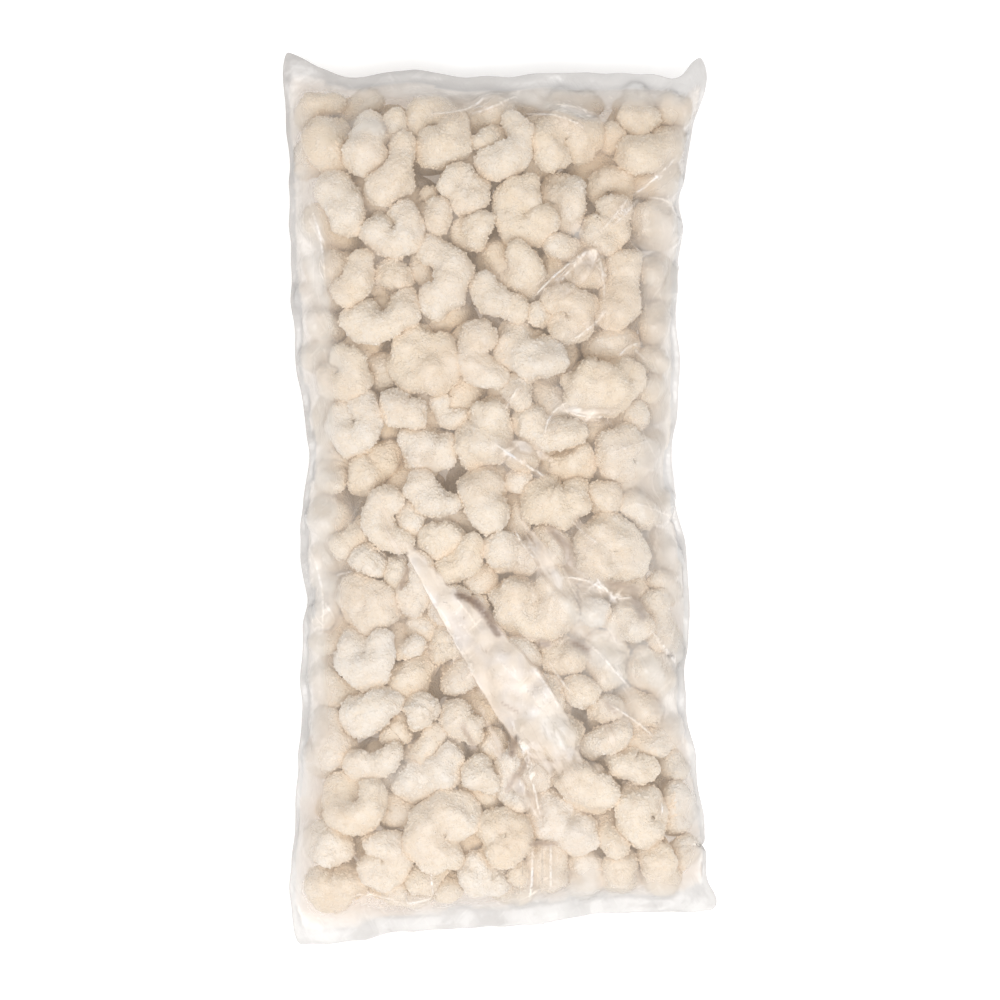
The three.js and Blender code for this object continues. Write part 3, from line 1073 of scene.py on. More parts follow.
        numbers = {
            "tint": np.clip(skin.tint[face] + shift[chosen], 0, 1),
            "crest": np.full(len(kept), self.crumb_crest),
            "depth": np.clip(deep / self.hidden, 0, 1),
            "crevice_bounce": skin.crevice_bounce[face],
        }
        made = finished_object(name, copies(grain, len(kept)), finish)
        made.data.shade_flat()
        numbers = {label: np.repeat(values, len(ball)) for label, values in numbers.items()}
        write_points(made.data, places.reshape(-1, 3), numbers)
        bpy.data.meshes.remove(grain)
        return made


def upright_turns(normals: np.ndarray, spins: np.ndarray, sideways: float = 0.8) -> np.ndarray:
    """Rotation matrices that stand the Z axis on normals.

    Args:
        normals: Unit normals, one for each row.
        spins: Turns about them in radians.
        sideways: How far along X a normal may lie before Y takes the place of X beside it.

    Returns:
        The matrices, of shape (rows, 3, 3).
    """
    aside = np.where(np.abs(normals[:, :1]) > sideways, [[0.0, 1.0, 0.0]], [[1.0, 0.0, 0.0]])
    first = np.cross(aside, normals)
    first /= np.linalg.norm(first, axis=1)[:, None]
    second = np.cross(normals, first)
    cosine, sine = np.cos(spins)[:, None], np.sin(spins)[:, None]
    return np.stack([first * cosine + second * sine, second * cosine - first * sine, normals], 2)


def unit_ball(around: int, steps: int) -> bpy.types.Mesh:
    """Makes a ball of unit radius, with its faces in the same order in each run.

    Args:
        around: How many segments it has around its axis.
        steps: How many rings it has from pole to pole.

    Returns:
        The mesh.
    """
    bm = bmesh.new()
    bmesh.ops.create_uvsphere(bm, u_segments=around, v_segments=steps, radius=1.0)
    bm.verts.index_update()
    count = len(bm.verts)

    def place(item: bmesh.types.BMFace | bmesh.types.BMEdge) -> float:
        """Where an edge or a face comes in the order, by the points that it joins."""
        lowest = (sorted(v.index for v in item.verts) + [0])[:3]
        return float((lowest[0] * count + lowest[1]) * count + lowest[2])

    bm.edges.sort(key=place)
    bm.faces.sort(key=place)
    mesh = bpy.data.meshes.new("ball")
    bm.to_mesh(mesh)
    bm.free()
    return mesh


def copies(mesh: bpy.types.Mesh, count: int) -> bmesh.types.BMesh:
    """Joins many copies of a small mesh, in batches.

    Args:
        mesh: The mesh to copy.
        count: How many copies.

    Returns:
        A bmesh of all the copies, one after the other.
    """
    batch = max(int(math.sqrt(count)), 1)
    bm = bmesh.new()
    for _ in range(batch):
        bm.from_mesh(mesh)
    many = bpy.data.meshes.new("batch")
    bm.to_mesh(many)
    bm.clear()
    for _ in range(count // batch):
        bm.from_mesh(many)
    for _ in range(count % batch):
        bm.from_mesh(mesh)
    bpy.data.meshes.remove(many)
    return bm


def write_points(mesh: bpy.types.Mesh, places: np.ndarray, numbers: dict[str, np.ndarray]) -> None:
    """Puts the points of a mesh in place and keeps numbers at each of them.

    Args:
        mesh: The mesh.
        places: Where its points go, in millimetres.
        numbers: The numbers, by the names that the material calls them.
    """
    mesh.vertices.foreach_set("co", (places * MM).astype(np.float32).ravel())
    for name, values in numbers.items():
        layer = mesh.attributes.new(name, "FLOAT", "POINT")
        layer.data.foreach_set("value", values.astype(np.float32))
    mesh.update()


def read_numbers(mesh: bpy.types.Mesh, name: str) -> np.ndarray:
    """Reads back one number at each point of a mesh.

    Args:
        mesh: The mesh.
        name: What the material calls the numbers.

    Returns:
        The numbers, point by point.
    """
    values = np.empty(len(mesh.vertices), np.float32)
    mesh.attributes[name].data.foreach_get("value", values)
    return values


def added(name: str, data: bpy.types.ID) -> bpy.types.Object:
    """Adds an object to the scene.

    Args:
        name: Its name.
        data: Its mesh, light or camera.

    Returns:
        The new object, at the origin.
    """
    made = bpy.data.objects.new(name, data)
    bpy.context.scene.collection.objects.link(made)
    return made


def finished_object(name: str, bm: bmesh.types.BMesh, finish: bpy.types.Material) -> bpy.types.Object:
    """Turns a bmesh into a smooth-shaded object at the origin.

    Args:
        name: The piece's name.
        bm: Its bmesh, which is freed.
        finish: Its material.

    Returns:
        The new object, linked to the scene.
    """
    mesh = bpy.data.meshes.new(name)
    bm.to_mesh(mesh)
    bm.free()
    mesh.materials.append(finish)
    mesh.shade_smooth()
    return added(name, mesh)


class Skin:
    """The joint skin of the pieces at the origin, for casting rays at, with each face's tint and painted
    bounce light.
    """

    def __init__(self, pieces: list[bpy.types.Object]) -> None:
        """Joins the skins of the pieces.

        Args:
            pieces: The pieces' objects.
        """
        places: list[Vector] = []
        faces: list[tuple[int, ...]] = []
        for item in pieces:
            offset = len(places)
            places.extend(v.co for v in item.data.vertices)
            faces.extend(tuple(i + offset for i in p.vertices) for p in item.data.polygons)
        self.tree = BVHTree.FromPolygons(places, faces)
        first = np.array([face[0] for face in faces])
        self.tint, self.crevice_bounce = (
            np.concatenate([read_numbers(item.data, name) for item in pieces])[first]
            for name in ("tint", "crevice_bounce")
        )


@dataclass(eq=False)
class Film:
    """The bag itself: the skin of the solid, made fine and drawn over the pieces.

    Lengths are in millimetres, but the weld of the solid's skin is in metres.
    """

    node: bpy.types.Object
    form: BagForm
    node_weld: float = 1e-5
    levels: int = 2
    clearance: float = 0.95
    top_pull: float = 0.085
    under_pull: float = 0.050
    rounds: int = 420
    fin_gap: float = 1.6
    sag_limit: float = 8.0
    wave: float = 13.0
    sway: float = 1.3
    sway_seed: int = 3
    fold_reach: float = 5.0
    rim_band: float = 15.0
    skin_gap: float = 0.25
    cast_high: float = 120
    cast_low: float = -60
    under_rest: float = 0.15
    lowest: float = 0.1
    sway_level: float = 2.6
    ripple: float = 1.3
    ripple_long: float = 13
    ripple_short: float = 3.5
    ripple_level: float = 8.1
    fin_keep: float = 0.3
    fin_ease: float = 0.7
    clearing_rounds: int = 6
    touch_reach: float = 4
    touching: float = 0.6
    cleared: float = 0.8
    press_reach: float = 8
    shade_edge: float = 1.5
    shade_spread: float = 1.6
    mist_fall: float = 1.5
    crease_ends: float = 5
    crease_width: float = 1.5
    past_end: float = 0.05
    under_shift: float = 7.7
    warp: float = 3.2
    warp_size: float = 26
    warp_level: float = 4.2
    crinkle: float = 0.55
    crinkle_across: float = 9
    crinkle_along: float = 13
    crinkle_edge: float = 3.2
    cloud_size: float = 30
    cloud_level: float = 11.3
    mottle_across: float = 7
    mottle_along: float = 8
    mottle_level: float = 3.1
    cloud_gain: float = 0.36
    mottle_gain: float = 0.40
    full_stand: float = 12.0
    free_from: float = 1.3
    free_run: float = 3.0
    rim_run: float = 20

    def __post_init__(self) -> None:
        """Copies the solid's skin and makes it fine."""
        self.mesh = self._fine_skin()
        count = len(self.mesh.vertices)
        places = np.empty(count * 3)
        self.mesh.vertices.foreach_get("co", places)
        self.place = places.reshape(-1, 3) / MM
        edges = np.empty(len(self.mesh.edges) * 2, np.int64)
        self.mesh.edges.foreach_get("vertices", edges)
        self.edges = edges.reshape(-1, 2)
        self.links = np.bincount(self.edges.ravel(), minlength=count)

    def _fine_skin(self) -> bpy.types.Mesh:
        """Welds a copy of the solid's skin, joins its triangles in pairs and subdivides it smoothly.

        Returns:
            The fine skin.
        """
        bm = bmesh.new()
        bm.from_mesh(self.node.data)
        bmesh.ops.remove_doubles(bm, verts=bm.verts, dist=self.node_weld)
        bmesh.ops.join_triangles(
            bm, faces=bm.faces, angle_face_threshold=math.pi, angle_shape_threshold=math.pi
        )
        mesh = bpy.data.meshes.new("film_base")
        bm.to_mesh(mesh)
        bm.free()
        base = added("film_base", mesh)
        smooth = base.modifiers.new("fine", "SUBSURF")
        smooth.levels = smooth.render_levels = self.levels
        graph = bpy.context.evaluated_depsgraph_get()
        fine = bpy.data.meshes.new_from_object(base.evaluated_get(graph))
        bpy.data.objects.remove(base)
        bpy.data.meshes.remove(mesh)
        return fine

    def _mean(self, values: np.ndarray) -> np.ndarray:
        """The mean of each point's neighbours.

        Args:
            values: A number at each point.

        Returns:
            The means, point by point.
        """
        a, b = self.edges.T
        total = np.bincount(a, values[b], len(values)) + np.bincount(b, values[a], len(values))
        return total / self.links

    def drape(self, tree: BVHTree) -> None:
        """Draws the film over and under the pieces until it is taut.

        Args:
            tree: The surface of all that is in the bag.
        """
        x, y, z = self.place.T
        top, _, _ = self.form.sample(self.form.skin_top, x, y)
        bottom, _, _ = self.form.sample(self.form.skin_bottom, x, y)
        self.upper = z > (top + bottom) / 2
        self.fin = top - bottom < self.fin_gap
        self.hit = np.full(len(x), np.nan)
        for index, (px, py) in enumerate(zip(x, y)):
            start, way = (self.cast_high, -1) if self.upper[index] else (self.cast_low, 1)
            spot = tree.ray_cast(Vector((px, py, start)) * MM, Vector((0, 0, way)))[0]
            if spot is not None:
                self.hit[index] = spot.z / MM
        stop_top = np.where(np.isnan(self.hit), -math.inf, self.hit + self.clearance)
        stop_under = np.where(np.isnan(self.hit), math.inf, self.hit - self.clearance)
        first = z.copy()
        for _ in range(self.rounds):
            mean = self._mean(z)
            over = np.maximum(np.maximum(mean - self.top_pull, stop_top), first - self.sag_limit)
            below = np.minimum(np.minimum(mean + self.under_pull, stop_under), first + self.sag_limit)
            fresh = np.where(self.upper, over, np.maximum(below, self.under_rest))
            z = np.where(self.fin, z, fresh)
        # Until it is seeded, noise_vector gives another field in each run.
        noise.seed_set(self.sway_seed)
        sway = np.array([
            noise.noise_vector(Vector((a, b, self.sway_level)) / self.wave) for a, b in zip(x, y)
        ])
        ripple = np.array([
            noise.noise(Vector((a / self.ripple_long, b / self.ripple_short, self.ripple_level)))
            for a, b in zip(x, y)
        ])
        self.place[:, :2] += (self.sway * sway[:, :2]) * self.fin[:, None]
        first = first + self.ripple * ripple * self.fin
        middle = self._mean(np.where(self.fin, (first + self._mean(first)) / 2, z))
        z = np.where(self.fin, self.fin_keep * z + self.fin_ease * middle, z)
        z = np.where(self.fin & self.upper, np.maximum(z, stop_top), z)
        z = np.where(self.fin & ~self.upper, np.minimum(z, stop_under), z)
        self.place[:, 2] = z
        self._clear_sides(tree)

    def _clear_sides(self, tree: BVHTree) -> None:
        """Pushes the film off any piece that still reaches through it sideways.

        Args:
            tree: The surface of all that is in the bag.
        """
        for _ in range(self.clearing_rounds):
            moved = np.zeros_like(self.place)
            for index, place in enumerate(self.place):
                spot, normal, _, _ = tree.find_nearest(Vector(place) * MM, self.touch_reach * MM)
                if spot is None:
                    continue
                out = (Vector(place) * MM - spot).dot(normal) / MM
                if out < self.clearance * self.touching:
                    moved[index] = normal * (self.clearance * self.cleared - out)
            smooth = np.stack([self._mean(moved[:, k]) for k in range(3)], 1)
            self.place += np.where(np.abs(moved) > np.abs(smooth), moved, smooth)
        pushed = int((np.abs(moved).sum(1) > 0).sum())
        log.info("film: %d points were still too near a piece in the last round", pushed)

    def shade(self, shades: tuple[Shade, ...], sheen_mists: tuple[SheenMist, ...]) -> None:
        """Notes the painted shade over dark gaps beside folds, and where the film is milkier, with painted
        sheen.

        Args:
            shades: The dark gaps.
            sheen_mists: The milky patches.
        """
        x, y, _ = self.place.T
        self.dark, self.sheen_mist = np.zeros((2, len(x)))
        for shade in shades:
            away = along_stroke(x, y, (shade.x0, shade.y0), (shade.x1, shade.y1))[1]
            soft = np.clip(self.shade_edge * (1 - away / (self.shade_spread * shade.half)), 0, 1)
            self.dark = np.maximum(self.dark, shade.strength * soft * self.upper)
        for sheen_mist in sheen_mists:
            turn = math.radians(sheen_mist.turn)
            along = (x - sheen_mist.x) * math.cos(turn) + (y - sheen_mist.y) * math.sin(turn)
            across = (y - sheen_mist.y) * math.cos(turn) - (x - sheen_mist.x) * math.sin(turn)
            off = (along / sheen_mist.long) ** 2 + (across / sheen_mist.broad) ** 2
            self.sheen_mist += sheen_mist.strength * np.exp(-self.mist_fall * off)
        self.sheen_mist *= self.upper

    def crease(self, creases: tuple[Crease, ...], veils: tuple[Veil, ...]) -> None:
        """Raises the sharp folds and fine crinkles, and notes where the film looks white, partly as painted
        glare.

        Args:
            creases: The sharp folds that show best.
            veils: The flat folds that look white, partly as painted glare.
        """
        x, y, z = self.place.T
        lift = np.zeros(len(x))
        # The strength of the painted glare along the nearest crease, and how far off that crease each point
        # is.
        self.fold = np.zeros(len(x))
        self.side = np.full(len(x), self.fold_reach)
        for crease in creases:
            run = np.array([crease.x1 - crease.x0, crease.y1 - crease.y0])
            length = float(np.hypot(*run))
            along, across = run / length, np.array([-run[1], run[0]]) / length
            share = ((x - crease.x0) * along[0] + (y - crease.y0) * along[1]) / length
            off = (x - crease.x0) * across[0] + (y - crease.y0) * across[1]
            off = off - crease.bow * np.sin(np.clip(share, 0, 1) * math.pi)
            ends = np.clip(share * self.crease_ends, 0, 1) * np.clip((1 - share) * self.crease_ends, 0, 1)
            ridge = np.clip(1 - np.abs(off) / (crease.breadth * self.crease_width), 0, 1) * ends
            lift = np.maximum(lift, crease.height * ridge)
            beside = (share > -self.past_end) & (share < 1 + self.past_end)
            nearer = (np.abs(off) < np.abs(self.side)) & beside
            self.side = np.where(nearer, off, self.side)
            self.fold = np.where(nearer, crease.glare * ends, self.fold)
        crinkle, cloud, mottle = np.empty((3, len(x)))
        for index, (px, py) in enumerate(zip(x, y)):
            layer = 0.0 if self.upper[index] else self.under_shift
            bend = Vector((px / self.warp_size, py / self.warp_size, self.warp_level))
            warp = self.warp * noise.noise(bend)
            ridge = Vector((px / self.crinkle_across + warp, py / self.crinkle_along - warp, layer))
            crinkle[index] = 1 - abs(noise.noise(ridge)) * self.crinkle_edge
            broad = Vector((px / self.cloud_size, py / self.cloud_size, self.cloud_level + layer))
            cloud[index] = noise.fractal(broad, 1.0, 2.0, 3)
            small = Vector((px / self.mottle_across, py / self.mottle_along, self.mottle_level + layer))
            mottle[index] = noise.fractal(small, 1.0, 2.0, 2)
        self.cloud, self.mottle = 0.5 + self.cloud_gain * cloud, 0.5 + self.mottle_gain * mottle
        crinkle = np.clip(crinkle, 0, 1) ** 2
        stand = np.where(np.isnan(self.hit), self.full_stand, np.abs(z - self.hit))
        free = np.clip((stand - self.free_from) / self.free_run, 0, 1) * ~self.fin
        sign = np.where(self.upper, 1.0, -1.0)
        self.place[:, 2] = z + sign * (lift * self.upper + self.crinkle * crinkle * free)
        self.place[:, 2] = np.maximum(self.place[:, 2], self.lowest)
        self.stand = np.clip(stand / self.full_stand, 0, 1)
        self.rim = np.clip(self.form.sample(self.form.rim, x, y)[0] / self.rim_run, 0, 1)
        self.fold = self.fold * self.upper
        depths, whites = (np.stack(part) for part in zip(*(veil.depth(x, y) for veil in veils)))
        self.veil_depth = np.where(self.upper, depths.max(0), -self.fold_reach)
        self.veil = np.take_along_axis(whites, depths.argmax(0)[None], 0)[0]

    def build(self, finish: bpy.types.Material) -> bpy.types.Object:
        """Writes the places back and makes the film's object.

        Args:
            finish: The material of the film.

        Returns:
            The new object.
        """
        write_points(self.mesh, self.place, {
            "stand_off": self.stand, "rim": self.rim, "fold": self.fold, "fold_side": self.side,
            "veil": self.veil, "veil_depth": self.veil_depth, "fin": self.fin.astype(float),
            "dark": self.dark, "sheen_mist": self.sheen_mist, "cloud": self.cloud, "mottle": self.mottle,
        })
        self.mesh.name = "bag_film"
        self.mesh.materials.clear()
        self.mesh.materials.append(finish)
        self.mesh.shade_smooth()
        return added("bag_film", self.mesh)

    def hold_in(self, pieces: list[bpy.types.Object]) -> None:
        """Presses what still reaches through the film near the rim back inside it.

        Args:
            pieces: The pieces in the bag.
        """
        skin = mesh_tree(self.mesh)
        for piece in pieces:
            places = np.empty(len(piece.data.vertices) * 3, np.float32)
            piece.data.vertices.foreach_get("co", places)
            places = places.reshape(-1, 3)
            inside = self.form.sample(self.form.rim, places[:, 0] / MM, places[:, 1] / MM)[0]
            for index in np.nonzero(inside < self.rim_band)[0]:
                spot, normal, _, _ = skin.find_nearest(Vector(places[index]), self.press_reach * MM)
                if spot is not None and (Vector(places[index]) - spot).dot(normal) > -self.skin_gap * MM:
                    places[index] = spot - normal * self.skin_gap * MM
            piece.data.vertices.foreach_set("co", places.ravel())
            piece.data.update()


class Wiring:
    """A short way to place and join the nodes of a material or a node group."""

    def __init__(self, tree: bpy.types.NodeTree) -> None:
        """Starts on an empty tree."""
        self.tree = tree
        self.tree.nodes.clear()

    def node(self, kind: str, inputs: dict | None = None, **settings: object) -> bpy.types.Node:
        """Adds a node.

        Args:
            kind: The node's type.
            inputs: Values or sockets for its inputs, by name or number.
            settings: The node's own properties.

        Returns:
            The node.
        """
        made = self.tree.nodes.new(kind)
        for name, value in settings.items():
            setattr(made, name, value)
        for name, value in (inputs or {}).items():
            if isinstance(value, Socket):
                self.tree.links.new(value, made.inputs[name])
            else:
                made.inputs[name].default_value = value
        return made

    def attribute(self, name: str) -> Socket:
        """Reads a number that the mesh holds at each point."""
        return self.node("ShaderNodeAttribute", attribute_name=name).outputs["Fac"]

    def maths(self, operation: str, *values: object, clamp: bool = False) -> Socket:
        """Works out a sum, a product or the like of numbers and sockets."""
        inputs = dict(enumerate(values))
        return self.node("ShaderNodeMath", inputs, operation=operation, use_clamp=clamp).outputs[0]

    def ramp(self, value: Socket, low: float, high: float, to_low: float = 0.0,
             to_high: float = 1.0) -> Socket:
        """Maps a value from one range to another and keeps it there."""
        inputs = {"Value": value, "From Min": low, "From Max": high, "To Min": to_low, "To Max": to_high}
        return self.node("ShaderNodeMapRange", inputs).outputs["Result"]

    def mix(self, share: object, first: object, second: object, blend: str = "MIX") -> Socket:
        """Mixes two colours by a share.

        Args:
            share: The share of the second one.
            first: A colour or a socket.
            second: A colour or a socket.
            blend: How they are mixed.

        Returns:
            The mixed colour.
        """
        made = self.node("ShaderNodeMix", data_type="RGBA", blend_type=blend)
        for index, value in ((0, share), (6, first), (7, second)):
            if isinstance(value, Socket):
                self.tree.links.new(value, made.inputs[index])
            else:
                made.inputs[index].default_value = value
        return made.outputs[2]


def new_group(name: str, inputs: dict[str, float], outputs: tuple[str, ...]) -> bpy.types.NodeTree:
    """Makes a shader node group with number sockets.

    Args:
        name: The group's name.
        inputs: Its inputs with their first values.
        outputs: Its outputs.

    Returns:
        The empty group.
    """
    group = bpy.data.node_groups.new(name, "ShaderNodeTree")
    for label, value in inputs.items():
        socket = group.interface.new_socket(label, in_out="INPUT", socket_type="NodeSocketFloat")
        socket.default_value = value
    for label in outputs:
        group.interface.new_socket(label, in_out="OUTPUT", socket_type="NodeSocketFloat")
    return group


def crumb_group() -> bpy.types.NodeTree:
    """Builds the group that grains a surface with crumbs: their heights, patches and dark flecks.

    Returns:
        The group.
    """
    group = new_group("crumb_grain", {"Grain": 560.0, "Patch": 150.0}, ("Height", "Patch", "Fleck"))
    wiring = Wiring(group)
    entry = wiring.node("NodeGroupInput")
    place = wiring.node("ShaderNodeTexCoord").outputs["Object"]
    size, patches = entry.outputs["Grain"], entry.outputs["Patch"]
    finer = wiring.maths("MULTIPLY", size, 1.7)
    grain = wiring.node("ShaderNodeTexVoronoi", {"Vector": place, "Scale": size, "Randomness": 1.0})
    grit, patch, fleck = (wiring.node("ShaderNodeTexNoise", {"Vector": place, **settings}) for settings in (
        {"Scale": finer, "Detail": 1.0, "Roughness": 0.5},
        {"Scale": patches, "Detail": 2.0},
        {"Scale": finer, "Detail": 2.0, "Lacunarity": 2.4},
    ))
    mound = wiring.ramp(grain.outputs["Distance"], 0.0, 0.75, 1.0, 0.0)
    wiring.node("NodeGroupOutput", {
        "Height": wiring.maths("MULTIPLY_ADD", grit.outputs[0], 0.6, mound),
        "Patch": wiring.ramp(patch.outputs[0], 0.35, 0.68),
        "Fleck": wiring.ramp(fleck.outputs[0], 0.62, 0.72),
    })
    return group


@dataclass(frozen=True)
class CrumbCoat:
    """Frozen raw breading: pale cream crumbs with a few toasted flecks, and painted warm shade in the
    hollows.
    """

    name: str = "frozen_breading"
    pale: Colour = (0.670, 0.584, 0.466, 1)
    cream: Colour = (0.705, 0.686, 0.652, 1)
    # Painted warm shade for the hollows of the coat and for what lies deep under the film.
    hollow_shade: Colour = (0.755, 0.600, 0.420, 1)
    # Painted warm bounce light where a piece nearly touches another.
    crevice_bounce: Colour = (0.760, 0.630, 0.488, 1)
    # Painted shade between the crumb grains.
    gap: Colour = (0.600, 0.465, 0.335, 1)
    fleck: Colour = (0.560, 0.430, 0.320, 1)
    relief: float = 0.00045
    grain: float = 900.0

    def material(self, group: bpy.types.NodeTree) -> bpy.types.Material:
        """Builds the material with the shared crumb group.

        Args:
            group: The crumb group.

        Returns:
            The material.
        """
        made = bpy.data.materials.new(self.name)
        made.use_nodes = True
        wiring = Wiring(made.node_tree)
        crumb = wiring.node("ShaderNodeGroup", node_tree=group)
        crumb.inputs["Grain"].default_value = self.grain
        patch = wiring.maths("MULTIPLY", crumb.outputs["Patch"], 0.3)
        base = wiring.mix(
            wiring.maths("MULTIPLY_ADD", wiring.attribute("tint"), 0.7, patch), self.pale, self.cream
        )
        # Painted warm shade: the hollows of each coat and what lies deep under the film turn warm brown.
        sunk = wiring.ramp(wiring.attribute("crest"), 0.05, 0.60, 0.24, 0.0)
        low = wiring.ramp(wiring.attribute("depth"), 0.16, 0.60, 0.0, 0.85)
        # Painted shade between the crumb grains.
        between = wiring.ramp(crumb.outputs["Height"], 0.25, 0.95, 0.06, 0.0)
        base = wiring.mix(wiring.maths("MAXIMUM", sunk, low), base, self.hollow_shade)
        base = wiring.mix(between, base, self.gap)
        # Painted warm bounce light where a piece nearly touches another.
        base = wiring.mix(wiring.ramp(wiring.attribute("crevice_bounce"), 0.1, 1.0, 0.0, 0.75), base, self.crevice_bounce)
        base = wiring.mix(wiring.maths("MULTIPLY", crumb.outputs["Fleck"], 0.03), base, self.fleck)
        bare = wiring.ramp(wiring.attribute("depth"), 0.45, 0.75, 0.12, 1.0)
        bump = wiring.node("ShaderNodeBump", {
            "Height": wiring.maths("MULTIPLY", crumb.outputs["Height"], bare), "Distance": self.relief,
        })
        rough = wiring.ramp(crumb.outputs["Patch"], 0.0, 1.0, 0.72, 0.95)
        shader = wiring.node("ShaderNodeBsdfPrincipled", {
            "Base Color": base, "Roughness": rough, "Normal": bump.outputs[0],
            "Specular IOR Level": 0.28, "Sheen Weight": 0.12, "Sheen Roughness": 0.6,
        })
        wiring.node("ShaderNodeOutputMaterial", {"Surface": shader.outputs[0]})
        return made


@dataclass(frozen=True)
class HazyFilm:
    """Thin, slightly milky film: clear where it lies on a piece and whiter where it stands off or folds,
    partly as painted glare.
    """

    name: str = "hazy_film"
    milk: Colour = (0.690, 0.648, 0.612, 1)
    # Painted warm light that the pieces beneath cast into the film's haze.
    warm_bounce: Colour = (0.710, 0.560, 0.435, 1)
    # The colour of the milky patches, partly haze and partly painted sheen.
    misty_sheen: Colour = (0.745, 0.692, 0.640, 1)
    # Colours the white folds and the painted glare on the creases.
    white: Colour = (0.800, 0.770, 0.755, 1)
    shaded: Colour = (0.225, 0.160, 0.122, 1)
    creamy: Colour = (0.800, 0.728, 0.645, 1)
    # The seals' grey is darker to the left and lighter to the right, as painted light and shade.
    left_seal: Colour = (0.480, 0.460, 0.446, 1)
    right_seal: Colour = (0.626, 0.610, 0.598, 1)
    foot_seal: Colour = (0.575, 0.557, 0.543, 1)
    clear: float = 0.16
    stand_off: float = 0.08
    rim: float = 0.36
    fin: float = 0.30
    # How much the painted glare on the creases adds to the film's cover.
    fold: float = 0.50
    shadow: float = 0.72
    crinkle: float = 0.00035
    fold_run: float = -60.0
    cross_run: float = 42.0

    def _streaks(self, wiring: Wiring, run: float, scale: float) -> Socket:
        """Noise drawn out along one direction, in degrees from the X axis.

        Args:
            wiring: The material's wiring.
            run: The direction.
            scale: How fine the noise is.

        Returns:
            The noise, from 0 to 1.
        """
        place = wiring.node("ShaderNodeTexCoord").outputs["Object"]
        drawn = wiring.node("ShaderNodeMapping", {
            "Vector": place, "Rotation": (0.0, 0.0, math.radians(run)), "Scale": (6.0, 1.0, 1.0),
        }, vector_type="TEXTURE").outputs[0]
        return wiring.node("ShaderNodeTexNoise", {
            "Vector": drawn, "Scale": scale, "Detail": 2.0, "Roughness": 0.55,
        }).outputs[0]

    def _folds(self, wiring: Wiring, fine: Socket, strays: Socket) -> tuple[Socket, Socket]:
        """The painted glare of the creases: bright lines on them and whitish fans beside them.

        Args:
            wiring: The material's wiring.
            fine: Fine noise that breaks up the lines.
            strays: Stray streaks that show in the fans.

        Returns:
            How strong the lines and the fans are.
        """
        off = wiring.maths("ABSOLUTE", wiring.attribute("fold_side"))
        broken = wiring.ramp(fine, 0.34, 0.60, 0.20, 1.0)
        edge = wiring.maths("MULTIPLY", wiring.ramp(off, 0.05, 0.85, 1.0, 0.0), wiring.attribute("fold"))
        beside = wiring.maths("MULTIPLY", wiring.ramp(off, 0.2, 4.6, 1.0, 0.0), wiring.attribute("fold"))
        fan = wiring.maths("MULTIPLY", beside, wiring.maths("MULTIPLY_ADD", strays, 0.50, 0.21))
        return wiring.maths("MULTIPLY", edge, broken), fan

    def _sheets(self, wiring: Wiring, streak: Socket, cloud: Socket, mottle: Socket) -> tuple[Socket, Socket]:
        """How white the flat folds are with their painted glare, streaky where they are weak, and the painted
        shade along their edges.

        Args:
            wiring: The material's wiring.
            streak: Streaks that run down the folds.
            cloud: The film's broad pattern.
            mottle: Its small pattern.

        Returns:
            How strong the white and the shade are.
        """
        veil = wiring.attribute("veil")
        narrower = wiring.maths("ADD", wiring.attribute("veil_depth"), -3.3)
        ragged = wiring.maths("MULTIPLY_ADD", mottle, 4.2, narrower)
        deep = wiring.maths("MULTIPLY_ADD", cloud, 2.4, ragged)
        inside = wiring.ramp(deep, -0.5, 0.9)
        lack = wiring.maths("MULTIPLY_ADD", veil, 0.52, -0.62)
        filled = wiring.maths("MULTIPLY", wiring.maths("ADD", streak, lack), 4.5, clamp=True)
        density = wiring.maths("MULTIPLY_ADD", veil, 0.35, 0.13)
        sheet = wiring.maths("MULTIPLY", wiring.maths("MULTIPLY", inside, filled), density)
        # Painted shade in patches just outside the folds' edges.
        near, past = wiring.ramp(deep, -1.5, -0.4), wiring.ramp(deep, -0.3, 0.0, 1.0, 0.0)
        outside = wiring.maths("MULTIPLY", near, past)
        weak = wiring.maths("MULTIPLY", veil, 0.45)
        patchy = wiring.maths("MULTIPLY", wiring.ramp(cloud, 0.44, 0.60), weak)
        edging = wiring.maths("MULTIPLY", outside, patchy)
        return sheet, wiring.maths("MAXIMUM", edging, wiring.attribute("dark"))

    def material(self) -> bpy.types.Material:
        """Builds the material from the film's own attributes and two scales of crinkle.

        Returns:
            The material.
        """
        made = bpy.data.materials.new(self.name)
        made.use_nodes = True
        wiring = Wiring(made.node_tree)
        place = wiring.node("ShaderNodeTexCoord").outputs["Object"]
        down = self._streaks(wiring, self.fold_run, 300.0)
        cross = self._streaks(wiring, self.cross_run, 260.0)
        fine = wiring.node("ShaderNodeTexNoise", {"Vector": place, "Scale": 420.0, "Detail": 1.0}).outputs[0]
        cloud, mottle = wiring.attribute("cloud"), wiring.attribute("mottle")
        strays = wiring.maths("MAXIMUM", wiring.ramp(down, 0.60, 0.76), wiring.ramp(cross, 0.60, 0.76))
        line, fan = self._folds(wiring, fine, strays)
        sheet, shade = self._sheets(wiring, down, cloud, mottle)

        split = wiring.node("ShaderNodeSeparateXYZ", {"Vector": place}).outputs
        end = wiring.ramp(split["Y"], 0.10, 0.17)
        far = wiring.ramp(split["Y"], -0.16, 0.14)
        rim = wiring.ramp(wiring.attribute("rim"), 0.0, 0.68, 1.0, 0.0)
        haze = wiring.maths("MULTIPLY", rim, wiring.ramp(cloud, 0.30, 0.70, 0.65, 1.25))
        ends = wiring.maths("MULTIPLY_ADD", end, 0.75, 0.25)
        thick = wiring.maths("MULTIPLY", wiring.attribute("fin"), ends)
